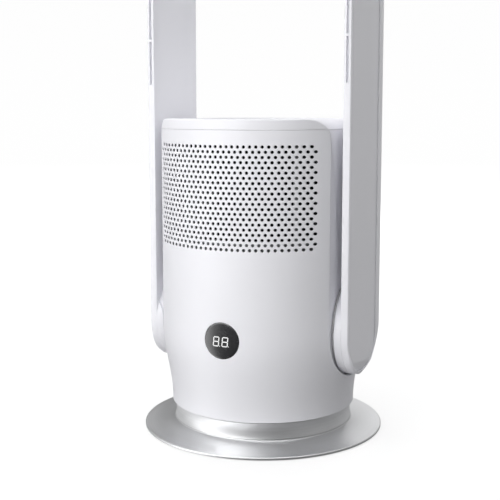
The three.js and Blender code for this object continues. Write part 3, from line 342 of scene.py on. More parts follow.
class Finish:
    """One node material around a Principled shader."""

    def __init__(self, name, base, roughness, metallic=0.0, **fixed):
        self.material = bpy.data.materials.new(name)
        self.material.use_nodes = True
        self.tree = self.material.node_tree
        self.shader = next(n for n in self.tree.nodes if n.type == "BSDF_PRINCIPLED")
        self.base = tuple(base)
        self.set("Base Color", (*base, 1.0))
        self.set("Roughness", roughness)
        self.set("Metallic", metallic)
        for socket, value in fixed.items():
            self.set(socket.replace("_", " "), value)
        self.material.diffuse_color = (*base, 1.0)
        self.place = self.node("ShaderNodeTexCoord", {}, {}).outputs["Object"]

    def feed(self, target, value):
        """Sets a plain number or colour on a socket, or links what changes over the surface."""
        if isinstance(value, Value):
            value = value.socket
        if isinstance(value, bpy.types.NodeSocket):
            self.tree.links.new(value, target)
        else:
            target.default_value = value

    def set(self, socket, value):
        """Feeds one of the shader's own sockets."""
        self.feed(self.shader.inputs[socket], value)

    def node(self, kind, settings, inputs):
        """Any other node: its type, its settings and the values or links of its sockets."""
        made = self.tree.nodes.new(kind)
        for key, value in settings.items():
            setattr(made, key, value)
        for key, value in inputs.items():
            self.feed(made.inputs[key], value)
        return made

    def stretched(self, x, y, z):
        """Object coordinates, scaled."""
        return self.node("ShaderNodeMapping", {}, {"Vector": self.place, "Scale": (x, y, z)}).outputs[0]

    def noise(self, scale, detail=3.0, rough=0.55, at=None):
        inputs = {"Vector": at or self.place, "Scale": scale, "Detail": detail, "Roughness": rough}
        return Value(self, self.node("ShaderNodeTexNoise", {}, inputs).outputs["Fac"])

    def speckle(self, scale):
        made = self.node("ShaderNodeTexVoronoi", {}, {"Vector": self.place, "Scale": scale})
        return Value(self, made.outputs["Distance"])

    def axis(self, letter):
        made = self.node("ShaderNodeSeparateXYZ", {}, {0: self.place})
        return Value(self, made.outputs[letter])

    def mixed(self, factor, first, second):
        """A colour between two, by a factor."""
        inputs = {0: factor, 6: (*first, 1.0), 7: (*second, 1.0)}
        return self.node("ShaderNodeMix", {"data_type": "RGBA"}, inputs).outputs[2]

    def tinted(self, factor, amount=0.03):
        """The base colour, a little darker and lighter with factor."""
        low = tuple(c * (1 - amount) for c in self.base)
        high = tuple(min(1.0, c * (1 + amount)) for c in self.base)
        self.set("Base Color", self.mixed(factor, low, high))
        return self

    def bumped(self, height, distance, strength=0.5):
        inputs = {"Height": height, "Distance": distance, "Strength": strength}
        self.set("Normal", self.node("ShaderNodeBump", {}, inputs).outputs[0])
        return self


def kept(usual_name):
    """Decorator of a finish's builder: its material is built on first use, and then found by its name."""

    def wrap(build):
        def once(name=usual_name, *options):
            return bpy.data.materials.get(name) or build(name, *options).material

        return once

    return wrap


@kept("white_satin_plastic")
def white_plastic(name):
    """Satin white moulded plastic: a fine spark-eroded grain, and faint flow marks in its gloss."""
    colours = bpy.context.scene.fan_colours
    made = Finish(name, colours.white, 0.42, Specular_IOR_Level=0.42, Coat_Weight=0.0)
    flow = made.noise(9.0, 4.0)
    grain = made.noise(2600.0, 2.0)
    made.tinted(flow.spread(0.35, 0.65), 0.012)
    made.set("Roughness", flow.spread(0.3, 0.7, 0.38, 0.46) + grain * 0.03)
    return made.bumped(grain + made.noise(900.0, 2.0) * 0.6, 0.00003, 0.35)


@kept("spun_aluminium_finish")
def spun_metal(name, rings=FOOT_RINGS):
    """Satin aluminium turned on a lathe: fine rings about the axis."""
    colours = bpy.context.scene.fan_colours
    made = Finish(name, colours.metal, 0.4, 1.0, Anisotropic=0.5)
    x, y, z = made.axis("X"), made.axis("Y"), made.axis("Z")
    reach = (x * x + y * y).root()
    along = made.node("ShaderNodeCombineXYZ", {}, {0: reach, 1: z, 2: 0.0}).outputs[0]
    fine = made.noise(rings, 2.0, 0.6, along)
    broad = made.noise(rings / 9.0, 2.0, 0.5, along)
    lathe = fine * 0.65 + broad * 0.35
    made.tinted(lathe.spread(0.3, 0.7), 0.05)
    cloud = made.noise(26.0, 3.0)
    made.set("Roughness", lathe.spread(0.25, 0.75, 0.36, 0.46) + cloud * 0.05)
    return made.bumped(lathe, 0.00004, 0.28)


@kept("display_window_glass")
def display_glass(name):
    """Dark smoked display glass with a polished face and the faintest cloud in its gloss."""
    colours = bpy.context.scene.fan_colours
    made = Finish(
        name, colours.glass, 0.26, Specular_IOR_Level=0.6, Coat_Weight=1.0, Coat_Roughness=0.22
    )
    cloud = made.noise(120.0, 2.0)
    made.set("Roughness", cloud.spread(0.2, 0.8, 0.24, 0.29))
    return made.tinted(cloud.spread(0.3, 0.7), 0.2)


@kept("lit_digit_mask")
def lit_digits(name):
    """White light behind a diffusing mask, a touch weaker at a segment's grainy edge."""
    colours = bpy.context.scene.fan_colours
    made = Finish(name, (0.03, 0.03, 0.032), 0.5, Emission_Strength=1.0)
    grain = made.noise(1500.0, 2.0).spread(0.2, 0.8)
    weak = tuple(0.9 * c for c in colours.digits)
    made.set("Emission Color", made.mixed(grain, weak, colours.digits))
    made.tinted(grain, 0.2)
    return made


@kept("dark_rubber_skin")
def dark_rubber(name):
    """Black rubber: matt, with a dusty bloom and a fine pebbled skin."""
    made = Finish(name, (0.022, 0.022, 0.024), 0.8, Specular_IOR_Level=0.3)
    bloom = made.noise(40.0, 4.0)
    dust = made.mixed(bloom.spread(0.4, 0.75), (0.018, 0.018, 0.02), (0.045, 0.045, 0.047))
    made.set("Base Color", dust)
    made.set("Roughness", bloom.spread(0.3, 0.7, 0.7, 0.88))
    return made.bumped(made.speckle(1600.0), 0.00004, 0.4)


@kept("groove_grey_soft")
def groove_grey(name):
    """Grey soft plastic of the hub's groove, matt and faintly streaked by its sliding."""
    made = Finish(name, (0.46, 0.46, 0.47), 0.7, Specular_IOR_Level=0.3)
    streak = made.noise(220.0, 3.0, 0.6, made.stretched(6.0, 1.0, 1.0))
    made.tinted(streak.spread(0.3, 0.7), 0.15)
    return made.bumped(made.noise(1400.0, 2.0), 0.00003, 0.3)


@kept("inner_plastic_finish")
def inner_plastic(name, base, rough):
    """Unpainted engineering plastic: eroded grain, and flow lines where the melt met."""
    made = Finish(name, base, rough, Specular_IOR_Level=0.4)
    flow = made.noise(16.0, 4.0)
    grain = made.noise(1500.0, 2.0)
    made.tinted(flow.spread(0.3, 0.7), 0.08)
    made.set("Roughness", flow.spread(0.3, 0.7, rough - 0.06, rough + 0.08))
    return made.bumped(grain, 0.00004, 0.4)


@kept("machined_finish")
def machined(name, base, rough, scratch=380.0):
    """Bare steel or iron: drawn scratches one way, clouded by oil."""
    made = Finish(name, base, rough, 1.0)
    drawn = made.noise(scratch, 3.0, 0.6, made.stretched(1.0, 1.0, 14.0))
    cloud = made.noise(30.0, 4.0)
    made.tinted(cloud.spread(0.3, 0.7), 0.12)
    made.set("Roughness", drawn.spread(0.3, 0.7, rough - 0.08, rough + 0.1))
    return made.bumped(drawn, 0.00003, 0.4)


@kept("board_green_resist")
def board_green(name):
    """Circuit board: glass weave under solder resist, with lines of copper that show through it."""
    made = Finish(name, (0.012, 0.085, 0.04), 0.35, Coat_Weight=0.4, Coat_Roughness=0.2)
    weave = (made.axis("X") * 5200.0).sine() * (made.axis("Y") * 5200.0).sine()
    tracks = made.speckle(260.0)
    copper = tracks.spread(0.02, 0.09)
    made.set("Base Color", made.mixed(copper, (0.03, 0.16, 0.07), (0.01, 0.075, 0.035)))
    return made.bumped(weave * 0.2 + copper, 0.00005, 0.4)


@kept("filter_felt_painted_shade")
def painted_shade_filter(name):
    """Filter felt behind the intake, near black as painted shade of the body's dark inside seen through the
    holes: fibres, and pores between them.
    """
    # painted shade: the near-black base and felt colours stand for the shade inside the body, not the
    # filter's own light colour
    made = Finish(name, (0.012, 0.012, 0.013), 0.92, Specular_IOR_Level=0.15)
    fibre = made.noise(900.0, 4.0, 0.7)
    painted_shade_felt = made.mixed(fibre.spread(0.35, 0.7), (0.006, 0.006, 0.007), (0.03, 0.03, 0.031))
    made.set("Base Color", painted_shade_felt)
    return made.bumped(fibre, 0.0002, 0.6)


# ---------- the body's form ----------


def body_radius(z):
    """Radius of the body at a height: a narrow foot that swells by a smoothstep into the full width."""
    return LOW_R + (BODY_R - LOW_R) * smoothstep((z - TAPER_FROM) / (TAPER_TO - TAPER_FROM))


def cheek_half(z):
    """How far out a cheek lies at a height: flat, with a quarter circle at the shoulder."""
    drop = np.clip(z - (LID_TOP - SHOULDER), 0.0, SHOULDER)
    return CHEEK_X - SHOULDER + np.sqrt(np.maximum(SHOULDER**2 - drop**2, 0.0))


def side_angle(z):
    """Angle from the front at which the round shell ends.

    Above the pivot it meets the flat cheek. Below, it follows the cheek's round lower end, and under
    that it meets the other half of the body at the side."""
    radius = body_radius(z)
    above = np.arcsin(np.clip(cheek_half(z) / radius, -1, 1))
    drop = np.clip((PIVOT_Z - z) / POCKET_DROP, 0.0, 1.0)
    below = np.arccos(np.clip(POCKET_R * np.sqrt(1.0 - drop**2) / radius, -1, 1))
    limit = np.where(z >= PIVOT_Z, above, np.where(z > PIVOT_Z - POCKET_DROP, below, np.pi / 2))
    return limit - HAIRLINE / BODY_R


def shell_angles(z, radius, limit):
    """Angles of the shell's upright lines at each height, one row a height.

    Across the holes a line keeps its place from side to side. Beyond them the lines share out what is
    left up to the shell's edge."""
    x = np.arange(-CELL_COLUMNS, CELL_COLUMNS + 1) * COLUMN
    inside = np.arcsin(x[None, :] / radius[:, None])
    share_out = np.arange(1, 7)[None, :] / 6
    last = inside[:, -1:]
    outside = last + share_out * (limit[:, None] - last)
    return np.concatenate([-outside[:, ::-1], inside, outside], 1)


def shell_point(angle, z, radius):
    """Place on the front of the body at an angle from the front and a height."""
    return places(radius * np.sin(angle), -radius * np.cos(angle), z)


def shell_rows():
    """Heights of the shell's level lines, and which of them bound the holes and the display's patch."""
    bend = np.linspace(0, np.pi / 2, 15)
    low = np.linspace(BODY_BOTTOM + SHELL_LIP, PIVOT_Z - POCKET_DROP, 11)
    pocket = PIVOT_Z - POCKET_DROP * np.cos(bend)
    band_low = TOP_ROW_Z - (ROWS - 0.5) * ROW_PITCH
    band_high = TOP_ROW_Z + 0.5 * ROW_PITCH
    patch = DISPLAY_Z + np.arange(-PATCH_COLUMNS, PATCH_COLUMNS + 1) * COLUMN
    between = np.linspace(patch[-1], band_low, 10)[1:-1]
    band = band_low + np.arange(2 * ROWS + 1) * ROW_PITCH / 2
    shoulder = LID_TOP - SHOULDER
    top = [np.linspace(band_high, shoulder, 5)[1:], np.linspace(shoulder, SEAM_Z - SHELL_LIP / 2, 4)[1:]]
    rows = np.concatenate([low, pocket[pocket < patch[0] - 0.001], patch, between, band, *top])
    return np.unique(np.round(rows, 7)), band_low, band_high, patch[0], patch[-1]


def half_shell(name, with_display):
    """Front half of the body: a thick skin with rows of straight holes and the display's round seat."""
    rows, band_low, band_high, patch_low, patch_high = shell_rows()
    z = rows[:, None]
    radius = body_radius(rows)
    limit = side_angle(rows)
    angle, back = shell_angles(rows, radius, limit), shell_angles(rows, radius - WALL, limit)
    outer = shell_point(angle, z, radius[:, None])
    inner = shell_point(back, z, radius[:, None] - WALL)
    pocket = rows > PIVOT_Z - POCKET_DROP
    for side in (0, -1):  # the pocket's wall reaches in to behind the cheek
        reach = np.minimum(np.abs(inner[:, side, 0]), cheek_half(rows) - 0.001)
        inner[:, side, 0] = np.where(pocket, np.sign(outer[:, side, 0]) * reach, inner[:, side, 0])
        inner[:, side, 1] = np.where(pocket, outer[:, side, 1], inner[:, side, 1])

    middle_z = (rows[1:] + rows[:-1])[:, None] / 2
    middle_column = np.abs(np.arange(angle.shape[1] - 1) + 0.5 - (angle.shape[1] - 1) / 2)[None, :]
    in_band = (middle_z > band_low) & (middle_z < band_high) & (middle_column < CELL_COLUMNS)
    in_patch = (middle_z > patch_low) & (middle_z < patch_high) & (middle_column < PATCH_COLUMNS)
    keep = ~(in_band | in_patch & with_display)
    made = Surface().grid(outer, keep).grid(inner, keep)
    for side in (0, -1):
        made.grid(np.stack([outer[:, side], inner[:, side]], 1))

    # edges: a small round at the seam and at the foot, then across the wall and closed at both ends
    for row, sign in ((0, -1), (-1, 1)):
        lip_z = rows[row] + sign * SHELL_LIP / 2
        lip = shell_point(angle[row], lip_z, radius[row] - 0.0002)
        under = shell_point(back[row], lip_z, radius[row] - WALL)
        made.grid(np.stack([outer[row], lip, under, inner[row]]))
        for side in (0, -1):
            corners = np.stack([outer[row, side], lip[side], inner[row, side], under[side]])
            made.grid(corners.reshape(2, 2, 3))

    add_holes(made)
    if with_display:
        add_display_seat(made, patch_high - patch_low)
    return made.mesh(name)


def straight_place(x, z, depth):
    """Place at a depth below the body's round face, straight in from the front."""
    radius = body_radius(z) - depth
    return places(x, -np.sqrt(np.maximum(radius**2 - x**2, 0.0)), z)


def box_edge(half_x, half_z, across, up):
    """Points round a rectangle's edge, anticlockwise from its lower left corner."""
    a, b = np.arange(across) / across, np.arange(up) / up
    x = np.concatenate([-1 + 2 * a, np.ones(up), 1 - 2 * a, -np.ones(up)]) * half_x
    z = np.concatenate([-np.ones(across), -1 + 2 * b, np.ones(across), 1 - 2 * b]) * half_z
    return x, z


def add_holes(made):
    """Brick pattern of cells, each a square of skin with a bevelled round hole that widens inside.

    Rows of 30 and of 29 holes alternate. The half cells at a short row's ends are plain."""
    sizes = bpy.context.scene.fan_sizes
    x_edge, z_edge = box_edge(HOLE_PITCH / 2, ROW_PITCH / 2, 4, 2)
    turn = np.arctan2(z_edge / (ROW_PITCH / 2), x_edge / (HOLE_PITCH / 2))
    centres = []
    for row in range(ROWS):
        count = LONG_ROW - 1 + row % 2
        x = (np.arange(count) - (count - 1) / 2) * HOLE_PITCH
        centres.append(np.stack([x, np.full(count, TOP_ROW_Z - row * ROW_PITCH)], 1))
    centres = np.concatenate(centres)
    x0, z0 = centres[:, :1], centres[:, 1:]

    def ring(radius, depth):
        return straight_place(x0 + radius * np.cos(turn), z0 + radius * np.sin(turn), depth)

    def edge(depth):
        return straight_place(x0 + x_edge, z0 + z_edge, depth)

    radius, lip = sizes.hole_radius, sizes.hole_lip
    rings = [edge(0.0), ring(radius + lip, 0.0), ring(radius, lip), ring(radius, HOLE_DEPTH)]
    rings += [ring(radius + HOLE_FLARE, WALL), edge(WALL)]
    made.cells(np.stack(rings, 1))

    x_half, z_half = box_edge(HOLE_PITCH / 4, ROW_PITCH / 2, 2, 2)
    z = (TOP_ROW_Z - np.arange(0, ROWS, 2) * ROW_PITCH)[:, None]
    for side in (-1, 1):
        x = np.full(z.shape, side * (LONG_ROW / 2 - 0.25) * HOLE_PITCH)
        for depth in (0.0, WALL):
            edge_ring = straight_place(x + x_half, z + z_half, depth)
            centre = straight_place(x + 0 * x_half, z + 0 * z_half, depth)
            made.cells(np.stack([edge_ring, centre], 1))


def add_display_seat(made, side):
    """Square patch of skin with the display's round hole, in rings that turn from a square to a circle."""
    x_edge, z_edge = box_edge(PATCH_COLUMNS * COLUMN, side / 2, 2 * PATCH_COLUMNS, 2 * PATCH_COLUMNS)
    turn = np.arctan2(z_edge, x_edge)
    radius = LENS_R + HAIRLINE
    x_in, z_in = np.cos(turn), np.sin(turn)

    def ring(t, reach, depth):
        """Between the square (t = 0) and the circle (t = 1)."""
        x, z = (1 - t) * x_edge + t * reach * x_in, (1 - t) * z_edge + t * reach * z_in
        return straight_place(x, DISPLAY_Z + z, depth)

    steps = np.linspace(0, 1, 5)
    rings = [ring(t, radius + 0.0003, 0.0) for t in steps]
    rings += [ring(1, radius, 0.0002), ring(1, radius, WALL)]
    rings += [ring(t, radius + 0.0003, WALL) for t in steps[::-1]]
    made.cells(np.stack(rings)[None])


def turned_about(mesh):
    """Turns a mesh half a turn about the upright axis, so that a front half becomes a rear one."""
    coordinates = np.empty(len(mesh.vertices) * 3, np.float32)
    mesh.vertices.foreach_get("co", coordinates)
    turned_round = coordinates.reshape(-1, 3) * np.array([-1, -1, 1], np.float32)
    mesh.vertices.foreach_set("co", turned_round.reshape(-1))
    mesh.update()
    return mesh


def cheek(name, side):
    """Flat cheek: a half ellipse below, straight sides, a round shoulder, and a bush's hole.

    The grid runs from the hole's edge (first column) to the outline (last column)."""
    top = SEAM_Z - 0.0001
    low = np.linspace(np.pi, 2 * np.pi, 49)
    straight = np.linspace(PIVOT_Z, LID_TOP - SHOULDER, 25)[1:]
    heights = np.concatenate([straight, np.linspace(LID_TOP - SHOULDER, top, 5)[1:]])
    widths = np.sqrt(BODY_R**2 - cheek_half(heights) ** 2) - HAIRLINE
    right = np.stack([widths, heights], 1)
    across = np.linspace(1, -1, 33)[1:-1]
    lid_line = np.stack([across * widths[-1], np.full(len(across), top)], 1)
    ends = [(POCKET_R - HAIRLINE) * np.cos(low), PIVOT_Z + (POCKET_DROP - HAIRLINE) * np.sin(low)]
    outline = np.concatenate([np.stack(ends, 1), right, lid_line, (right * [-1, 1])[::-1]])
    turn = np.arctan2(outline[:, 1] - PIVOT_Z, outline[:, 0])
    hole_r = BOSS_BORE - 0.0001
    hole = np.stack([hole_r * np.cos(turn), PIVOT_Z + hole_r * np.sin(turn)], 1)
    t = np.linspace(0, 1, 22)[None, :, None]
    flat = hole[:, None] * (1 - t) + outline[:, None] * t
    edge = outline[:, None]
    levels = [(flat, 0.0), (edge, 0.00015), (flat[:, ::-1], WALL)]
    loop = [places(side * (cheek_half(yz[..., 1]) - depth), yz[..., 0], yz[..., 1]) for yz, depth in levels]
    return Surface().grid(np.concatenate(loop, 1), wrap_rows=True, wrap_columns=True).mesh(name)


def lid_layer(inset):
    """The lid's form, one inset in from its face, as a grid of profiles from front to back.

    For each place across, the profile climbs the front wall, turns over a small edge, crosses the top
    and comes down the back wall."""
    base = SEAM_Z + 0.0002
    level, r = LID_TOP - inset, SHOULDER - inset
    flat, drop = CHEEK_X - SHOULDER, LID_TOP - SHOULDER
    turn = np.linspace(0, 1, 13)[1:] * math.acos(min(1.0, max(0.0, (base - drop) / r)))
    right, side = flat + r * np.sin(turn), drop + r * np.cos(turn)
    x = np.concatenate([-right[::-1], np.linspace(-flat, flat, 65), right])
    climb = np.concatenate([side[::-1], np.full(65, level), side])
    reach = np.sqrt(np.maximum((BODY_R - inset) ** 2 - x**2, 0))
    size = np.minimum(LID_EDGE, (climb - base) * 0.6)
    out = [(reach, np.full_like(x, base))]
    bend = np.linspace(0, np.pi / 2, 6)
    out += [(reach - size * (1 - math.cos(k)), climb - size * (1 - math.sin(k))) for k in bend]
    out += [((reach - size) * share_in, climb) for share_in in np.linspace(1, 0, 17)[1:]]
    front = [places(x, -y, z) for y, z in out]
    back = [places(x, y, z) for y, z in out[:-1]][::-1]
    return np.stack(front + back, 1)


def lid_mesh(name):
    """Vaulted lid, level in the middle and rounded down to the cheeks, and three pegs of its filter."""
    made = thick_sheet(lid_layer(0.0), lid_layer(WALL))
    low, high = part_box("filter_frame")[1].z + 0.0003, LID_TOP - WALL - 0.0001
    t = np.linspace(0, 1, 5)  # round its lower edge
    radius = np.concatenate([[0.0], PEG_R - PEG_EDGE * (1 - t) ** 2, [PEG_R, 0.0]])
    height = np.concatenate([[low], low + PEG_EDGE * t**2, [high, high]])
    turn = full_turn(24)[:, None]
    for at in full_turn(3) + np.pi / 2:
        x, y = PEG_REACH * np.cos(at), PEG_REACH * np.sin(at)
        made.grid(places(x + radius * np.cos(turn), y + radius * np.sin(turn), height), wrap_rows=True)
    return made.mesh(name)


# ---------- the display ----------


def lens_mesh(name):
    """Round window that follows the body's curve: polar rings with a small bevel and a flat back."""
    turn = full_turn(96)
    rings = [(r, 0.0) for r in np.linspace(0, LENS_R - 0.0004, 14)]
    rings += [(LENS_R - 0.0001, 0.00012), (LENS_R, 0.00035), (LENS_R, WALL), (0.0, WALL)]
    loops = [straight_place(r * np.cos(turn), DISPLAY_Z + r * np.sin(turn), d - 0.00005) for r, d in rings]
    return Surface().grid(np.stack(loops), wrap_columns=True).mesh(name)


def segment(x, z, along, stroke, upright):
    """Outline of one lit segment at a place in its digit: a bar with pointed ends."""
    h, w = along / 2, stroke / 2
    bar = np.array([(-h, 0), (-h + w, -w), (h - w, -w), (h, 0), (h - w, w), (-h + w, w)])
    return (bar[:, ::-1] if upright else bar) + [x, z]


def digits_mesh(name):
    """Two eights in seven slanted segments each, a hair proud of the window, and two small points."""
    sizes = bpy.context.scene.fan_sizes
    height, stroke = sizes.digit_height, sizes.stroke
    arm, wide = (height - stroke) / 2, DIGIT_WIDTH - stroke
    parts = [(0, k * arm, wide - DIGIT_GAP, stroke, False) for k in (-1, 0, 1)]
    parts += [(s * wide / 2, k * arm, arm - DIGIT_GAP, stroke, True) for s in (-1, 1) for k in (-0.5, 0.5)]
    outlines = [(segment(*part), place) for place in DIGIT_PLACES for part in parts]
    turn = full_turn(6)
    dot = np.stack([DOT_R * np.cos(turn), -height / 2 + 0.0005 + DOT_R * np.sin(turn)], 1)
    made = Surface()
    for outline, place in outlines + [(dot, x) for x in DOT_PLACES]:
        x = place + outline[:, 0] + DIGIT_SLANT * outline[:, 1]
        z = DISPLAY_Z - DIGIT_DROP + outline[:, 1]
        middle = np.full(6, x.mean()), np.full(6, z.mean())
        rings = [(*middle, -DIGIT_PROUD), (x, z, -DIGIT_PROUD), (x, z, 0.0), (*middle, 0.0)]
        made.grid(np.stack([straight_place(*ring) for ring in rings]), wrap_columns=True)
    return made.mesh(name)


# ---------- the hoop ----------


def skin_x(y):
    """How far out the hoop's outer skin lies at a depth: a quadratic curve that rolls over at the back."""
    a = SKIN_FRONT_Y + SKIN_BACK_Y
    t = (SKIN_FRONT_Y + np.sqrt(np.maximum(SKIN_FRONT_Y**2 - a * (SKIN_FRONT_Y - y), 0))) / a
    roll = SKIN_ROLL * np.maximum((y - SKIN_ROLL_Y) / (SKIN_BACK_Y - SKIN_ROLL_Y), 0.0) ** 2
    return (1 - t) ** 2 * SKIN_X + 2 * t * (1 - t) * SKIN_SWELL_X + t**2 * SKIN_BACK_X - roll


def skin_place(y, z):
    """Skin with its lower facet: below a nearly level crease it slopes in towards the leg's round end."""
    crease = 0.0762 - 0.12 * (y + 0.010)
    drop = np.maximum(crease - z, 0.0)
    soft = np.sqrt(drop**2 + 0.0006**2) - 0.0006
    return np.maximum(skin_x(y) - soft * 0.30, SKIN_X)


def hoop_halves(slot_depth):
    """Front and back half sections of the hoop's frame as (distance from the leg's middle, distance out).

    Both start on the inner face, go round the edge and come back under the skin, point for point."""
    s0, s1 = SLOT_X - SLOT_W / 2, SLOT_X + SLOT_W / 2
    d, x = LEG_D, LEG_X
    f, b = SKIN_GAP - SKIN_FRONT_Y, SKIN_BACK_Y + bpy.context.scene.fan_sizes.groove
    below = {y: float(skin_x(np.array(y))) - SKIN_UNDER for y in (-0.020, 0.0, 0.012, SKIN_BACK_Y)}
    inner_face = [(0.0, x), (0.005, x)]
    front = inner_face + [
        (0.030, x), (d - 0.0005, x), (d - 0.00015, x + 0.00015), (d, x + 0.0005),
        (d, s0), (d - slot_depth, s0), (d - slot_depth, s1), (d, s1),
        (d, STRIP_X - 0.0004), (d - 0.0001, STRIP_X - 0.0001), (d - 0.0004, STRIP_X + 0.0001),
        (d - 0.0012, STRIP_X + 0.0006), (d - 0.0020, SKIN_X - 0.0002), (d - 0.0026, SKIN_X),
        (d - 0.0032, SKIN_X), (f + 0.0002, SKIN_X), (f, SKIN_X - 0.0002),
        (f, SKIN_X - SKIN_UNDER), (0.020, below[-0.020]), (0.0, below[0.0]),
    ]
    back = inner_face + [
        (0.030, x - 0.0011), (d - 0.0034, x - 0.0017), (d - 0.0014, x - 0.0009), (d - 0.0004, x + 0.0006),
        (d, x + 0.0022), (d, x + 0.0034), (d, x + 0.0046), (d, x + 0.0058),
        (d - 0.0002, x + 0.0070), (d - 0.0008, x + 0.0083), (d - 0.0019, x + 0.0098),
        (d - 0.0040, x + 0.0114), (d - 0.0070, x + 0.0126), (d - 0.0110, x + 0.0132),
        (d - 0.0160, HOOP_OUT), (b + 0.0004, HOOP_OUT - 0.00005), (b, HOOP_OUT - 0.0004),
        (b, below[SKIN_BACK_Y]), (0.012, below[0.012]), (0.0, below[0.0]),
    ]
    return np.array(front), np.array(back)


SEAM_INDEX = 18  # of the half sections' points: the groove's outer edge
EDGE_INDEX = 6  # the first point on the contour itself


def hoop_stations():
    """Heights down a leg at which the frame's section stands, with 1 where a slot is open."""
    stops = [(PIVOT_Z, 0.0)]
    for z in np.linspace(PIVOT_Z, SLOT_Z, 9)[1:-1]:
        stops.append((float(z), 0.0))
    for i in range(SLOTS):
        low = SLOT_Z + i * SLOT_PITCH
        stops += [(low, 0.0), (low, 1.0), (low + SLOT_L / 2, 1.0), (low + SLOT_L, 1.0), (low + SLOT_L, 0.0)]
    stops.append((ARCH_Z, 0.0))
    return stops


def hoop_frame_mesh(name):
    """The hoop's frame: its section carried up a leg, over the arch and down the other leg.

    Each leg's lower end is the same section in halves, turned about the pivot from front to back, with
    the front half changing into the back half on the way."""
    front, back = hoop_halves(0.0)
    slotted, _ = hoop_halves(bpy.context.scene.fan_sizes.slot_depth)
    plain, opened = (np.concatenate([half * [-1, 1], back[::-1]]) for half in (front, slotted))
    sections = [(opened if is_open else plain, z) for z, is_open in hoop_stations()]
    right = [places(loop[:, 1], loop[:, 0], z) for loop, z in sections]
    arch = [
        places(plain[:, 1] * math.cos(a), plain[:, 0], ARCH_Z + plain[:, 1] * math.sin(a))
        for a in np.linspace(0, np.pi, 73)[1:-1]
    ]
    left = [loop * [-1, 1, 1] for loop in right[::-1]]
    made = Surface().grid(np.stack(right + arch + left), wrap_columns=True)
    out, y, z = leg_end(front, back)
    for side in (1, -1):
        made.grid(places(side * out, y, z))
    return made.mesh(name, sharp=28.0)


def leg_end(front, back):
    """A leg's lower end as grids of its distance out, its depth and its height, one row an angle.

    The rows go from the back (0) under the leg to the front (pi). Between the edge and the skin's groove
    the section's points share out the way from a circle about the pivot to the groove's own line."""
    turn = np.linspace(0, np.pi, 61)
    seam_y, seam_z = end_seam(turn / np.pi)
    w = smoothstep((np.pi * 0.62 - turn) / (np.pi * 0.45))[:, None]
    radius = (1 - w) * front[:, 0] + w * back[:, 0]
    out = (1 - w) * front[:, 1] + w * back[:, 1]
    y, z = radius * np.cos(turn)[:, None], PIVOT_Z - radius * np.sin(turn)[:, None]
    rim = slice(EDGE_INDEX, SEAM_INDEX + 1)
    share_front, share_back = ((LEG_D - h[rim, 0]) / (LEG_D - h[SEAM_INDEX, 0]) for h in (front, back))
    part = (1 - w) * share_front + w * share_back
    edge_y, edge_z = LEG_D * np.cos(turn)[:, None], PIVOT_Z - LEG_D * np.sin(turn)[:, None]
    y[:, rim] = edge_y + part * (seam_y[:, None] - edge_y)
    z[:, rim] = edge_z + part * (seam_z[:, None] - edge_z)

    # the back's rounding flattens towards the leg's tip, and its top meets the skin
    straight = back[EDGE_INDEX, 1] + share_back * (back[SEAM_INDEX, 1] - back[EDGE_INDEX, 1])
    swell = 1 - 0.5 * smoothstep(turn / 1.2)[:, None]
    out[:, rim] = (1 - w) * front[rim, 1] + w * (straight + swell * (back[rim, 1] - straight))
    on_skin = seam_y.clip(SKIN_FRONT_Y, SKIN_BACK_Y)
    level, low = skin_x(on_skin), skin_place(on_skin, seam_z)
    ridge = slice(SEAM_INDEX - 2, SEAM_INDEX + 1)
    proud = back[ridge, 1].max() - float(skin_x(np.array(SKIN_BACK_Y)))
    target = low + 0.5 * (level - low) + proud * w[:, 0]
    out[:, rim] += (target - out[:, ridge].max(1))[:, None] * smoothstep(part)
    y[:, SEAM_INDEX + 1], z[:, SEAM_INDEX + 1] = seam_y, seam_z
    out[:, SEAM_INDEX + 1] = low - SKIN_UNDER
    return out, y, z


def end_seam(share_along):
    """Line of the groove round a leg's lower end, by its share from back to front.

    It runs down the back, round a half circle, and up the front by the same straight length."""
    back, front = SKIN_BACK_Y + bpy.context.scene.fan_sizes.groove, SKIN_FRONT_Y - SKIN_GAP
    radius, drop = (back - front) / 2, PIVOT_Z - SKIN_END_Z
    along = share_along * (2 * drop + np.pi * radius)
    bend = np.clip((along - drop) / radius, 0, np.pi)
    straight = np.maximum(drop - along, 0) + np.maximum(along - drop - np.pi * radius, 0)
    return (back + front) / 2 + radius * np.cos(bend), SKIN_END_Z + straight - radius * np.sin(bend)


def skin_rows_low(y):
    """Lower edge of a leg's skin: a half circle as wide as the skin."""
    return SKIN_END_Z - np.sqrt(np.maximum(SKIN_END_R**2 - (y - SKIN_MIDDLE_Y) ** 2, 0.0))


def leg_skin_mesh(name, side):
    """Outer skin of a leg: columns from front to back, each from the round lower end up to the arch."""
    y = SKIN_MIDDLE_Y - SKIN_END_R * np.cos(np.linspace(0, np.pi, 49))
    low = skin_rows_low(y)
    reach = np.maximum(PIVOT_Z + 0.004 - low, 0.004)
    above = np.linspace(0.16, ARCH_Z - 0.0001, 12)[:, None] + 0 * y
    z = np.concatenate([low + np.linspace(0, 1, 33)[:, None] * reach, above])
    x = skin_place(np.broadcast_to(y, z.shape), z)
    return thick_sheet(places(side * x, y, z), places(side * (x - SKIN_THICK), y, z)).mesh(name)


def arch_skin_mesh(name):
    """Outer skin of the arch: the leg's skin carried over a half circle."""
    y = SKIN_FRONT_Y + (SKIN_BACK_Y - SKIN_FRONT_Y) * np.linspace(0, 1, 41)
    angle = np.linspace(0.0001 / HOOP_OUT, np.pi - 0.0001 / HOOP_OUT, 97)[:, None]

    def layer(inset):
        x = skin_x(y)[None, :] - inset
        return places(x * np.cos(angle), y, ARCH_Z + x * np.sin(angle))

    return thick_sheet(layer(0.0), layer(SKIN_THICK)).mesh(name)


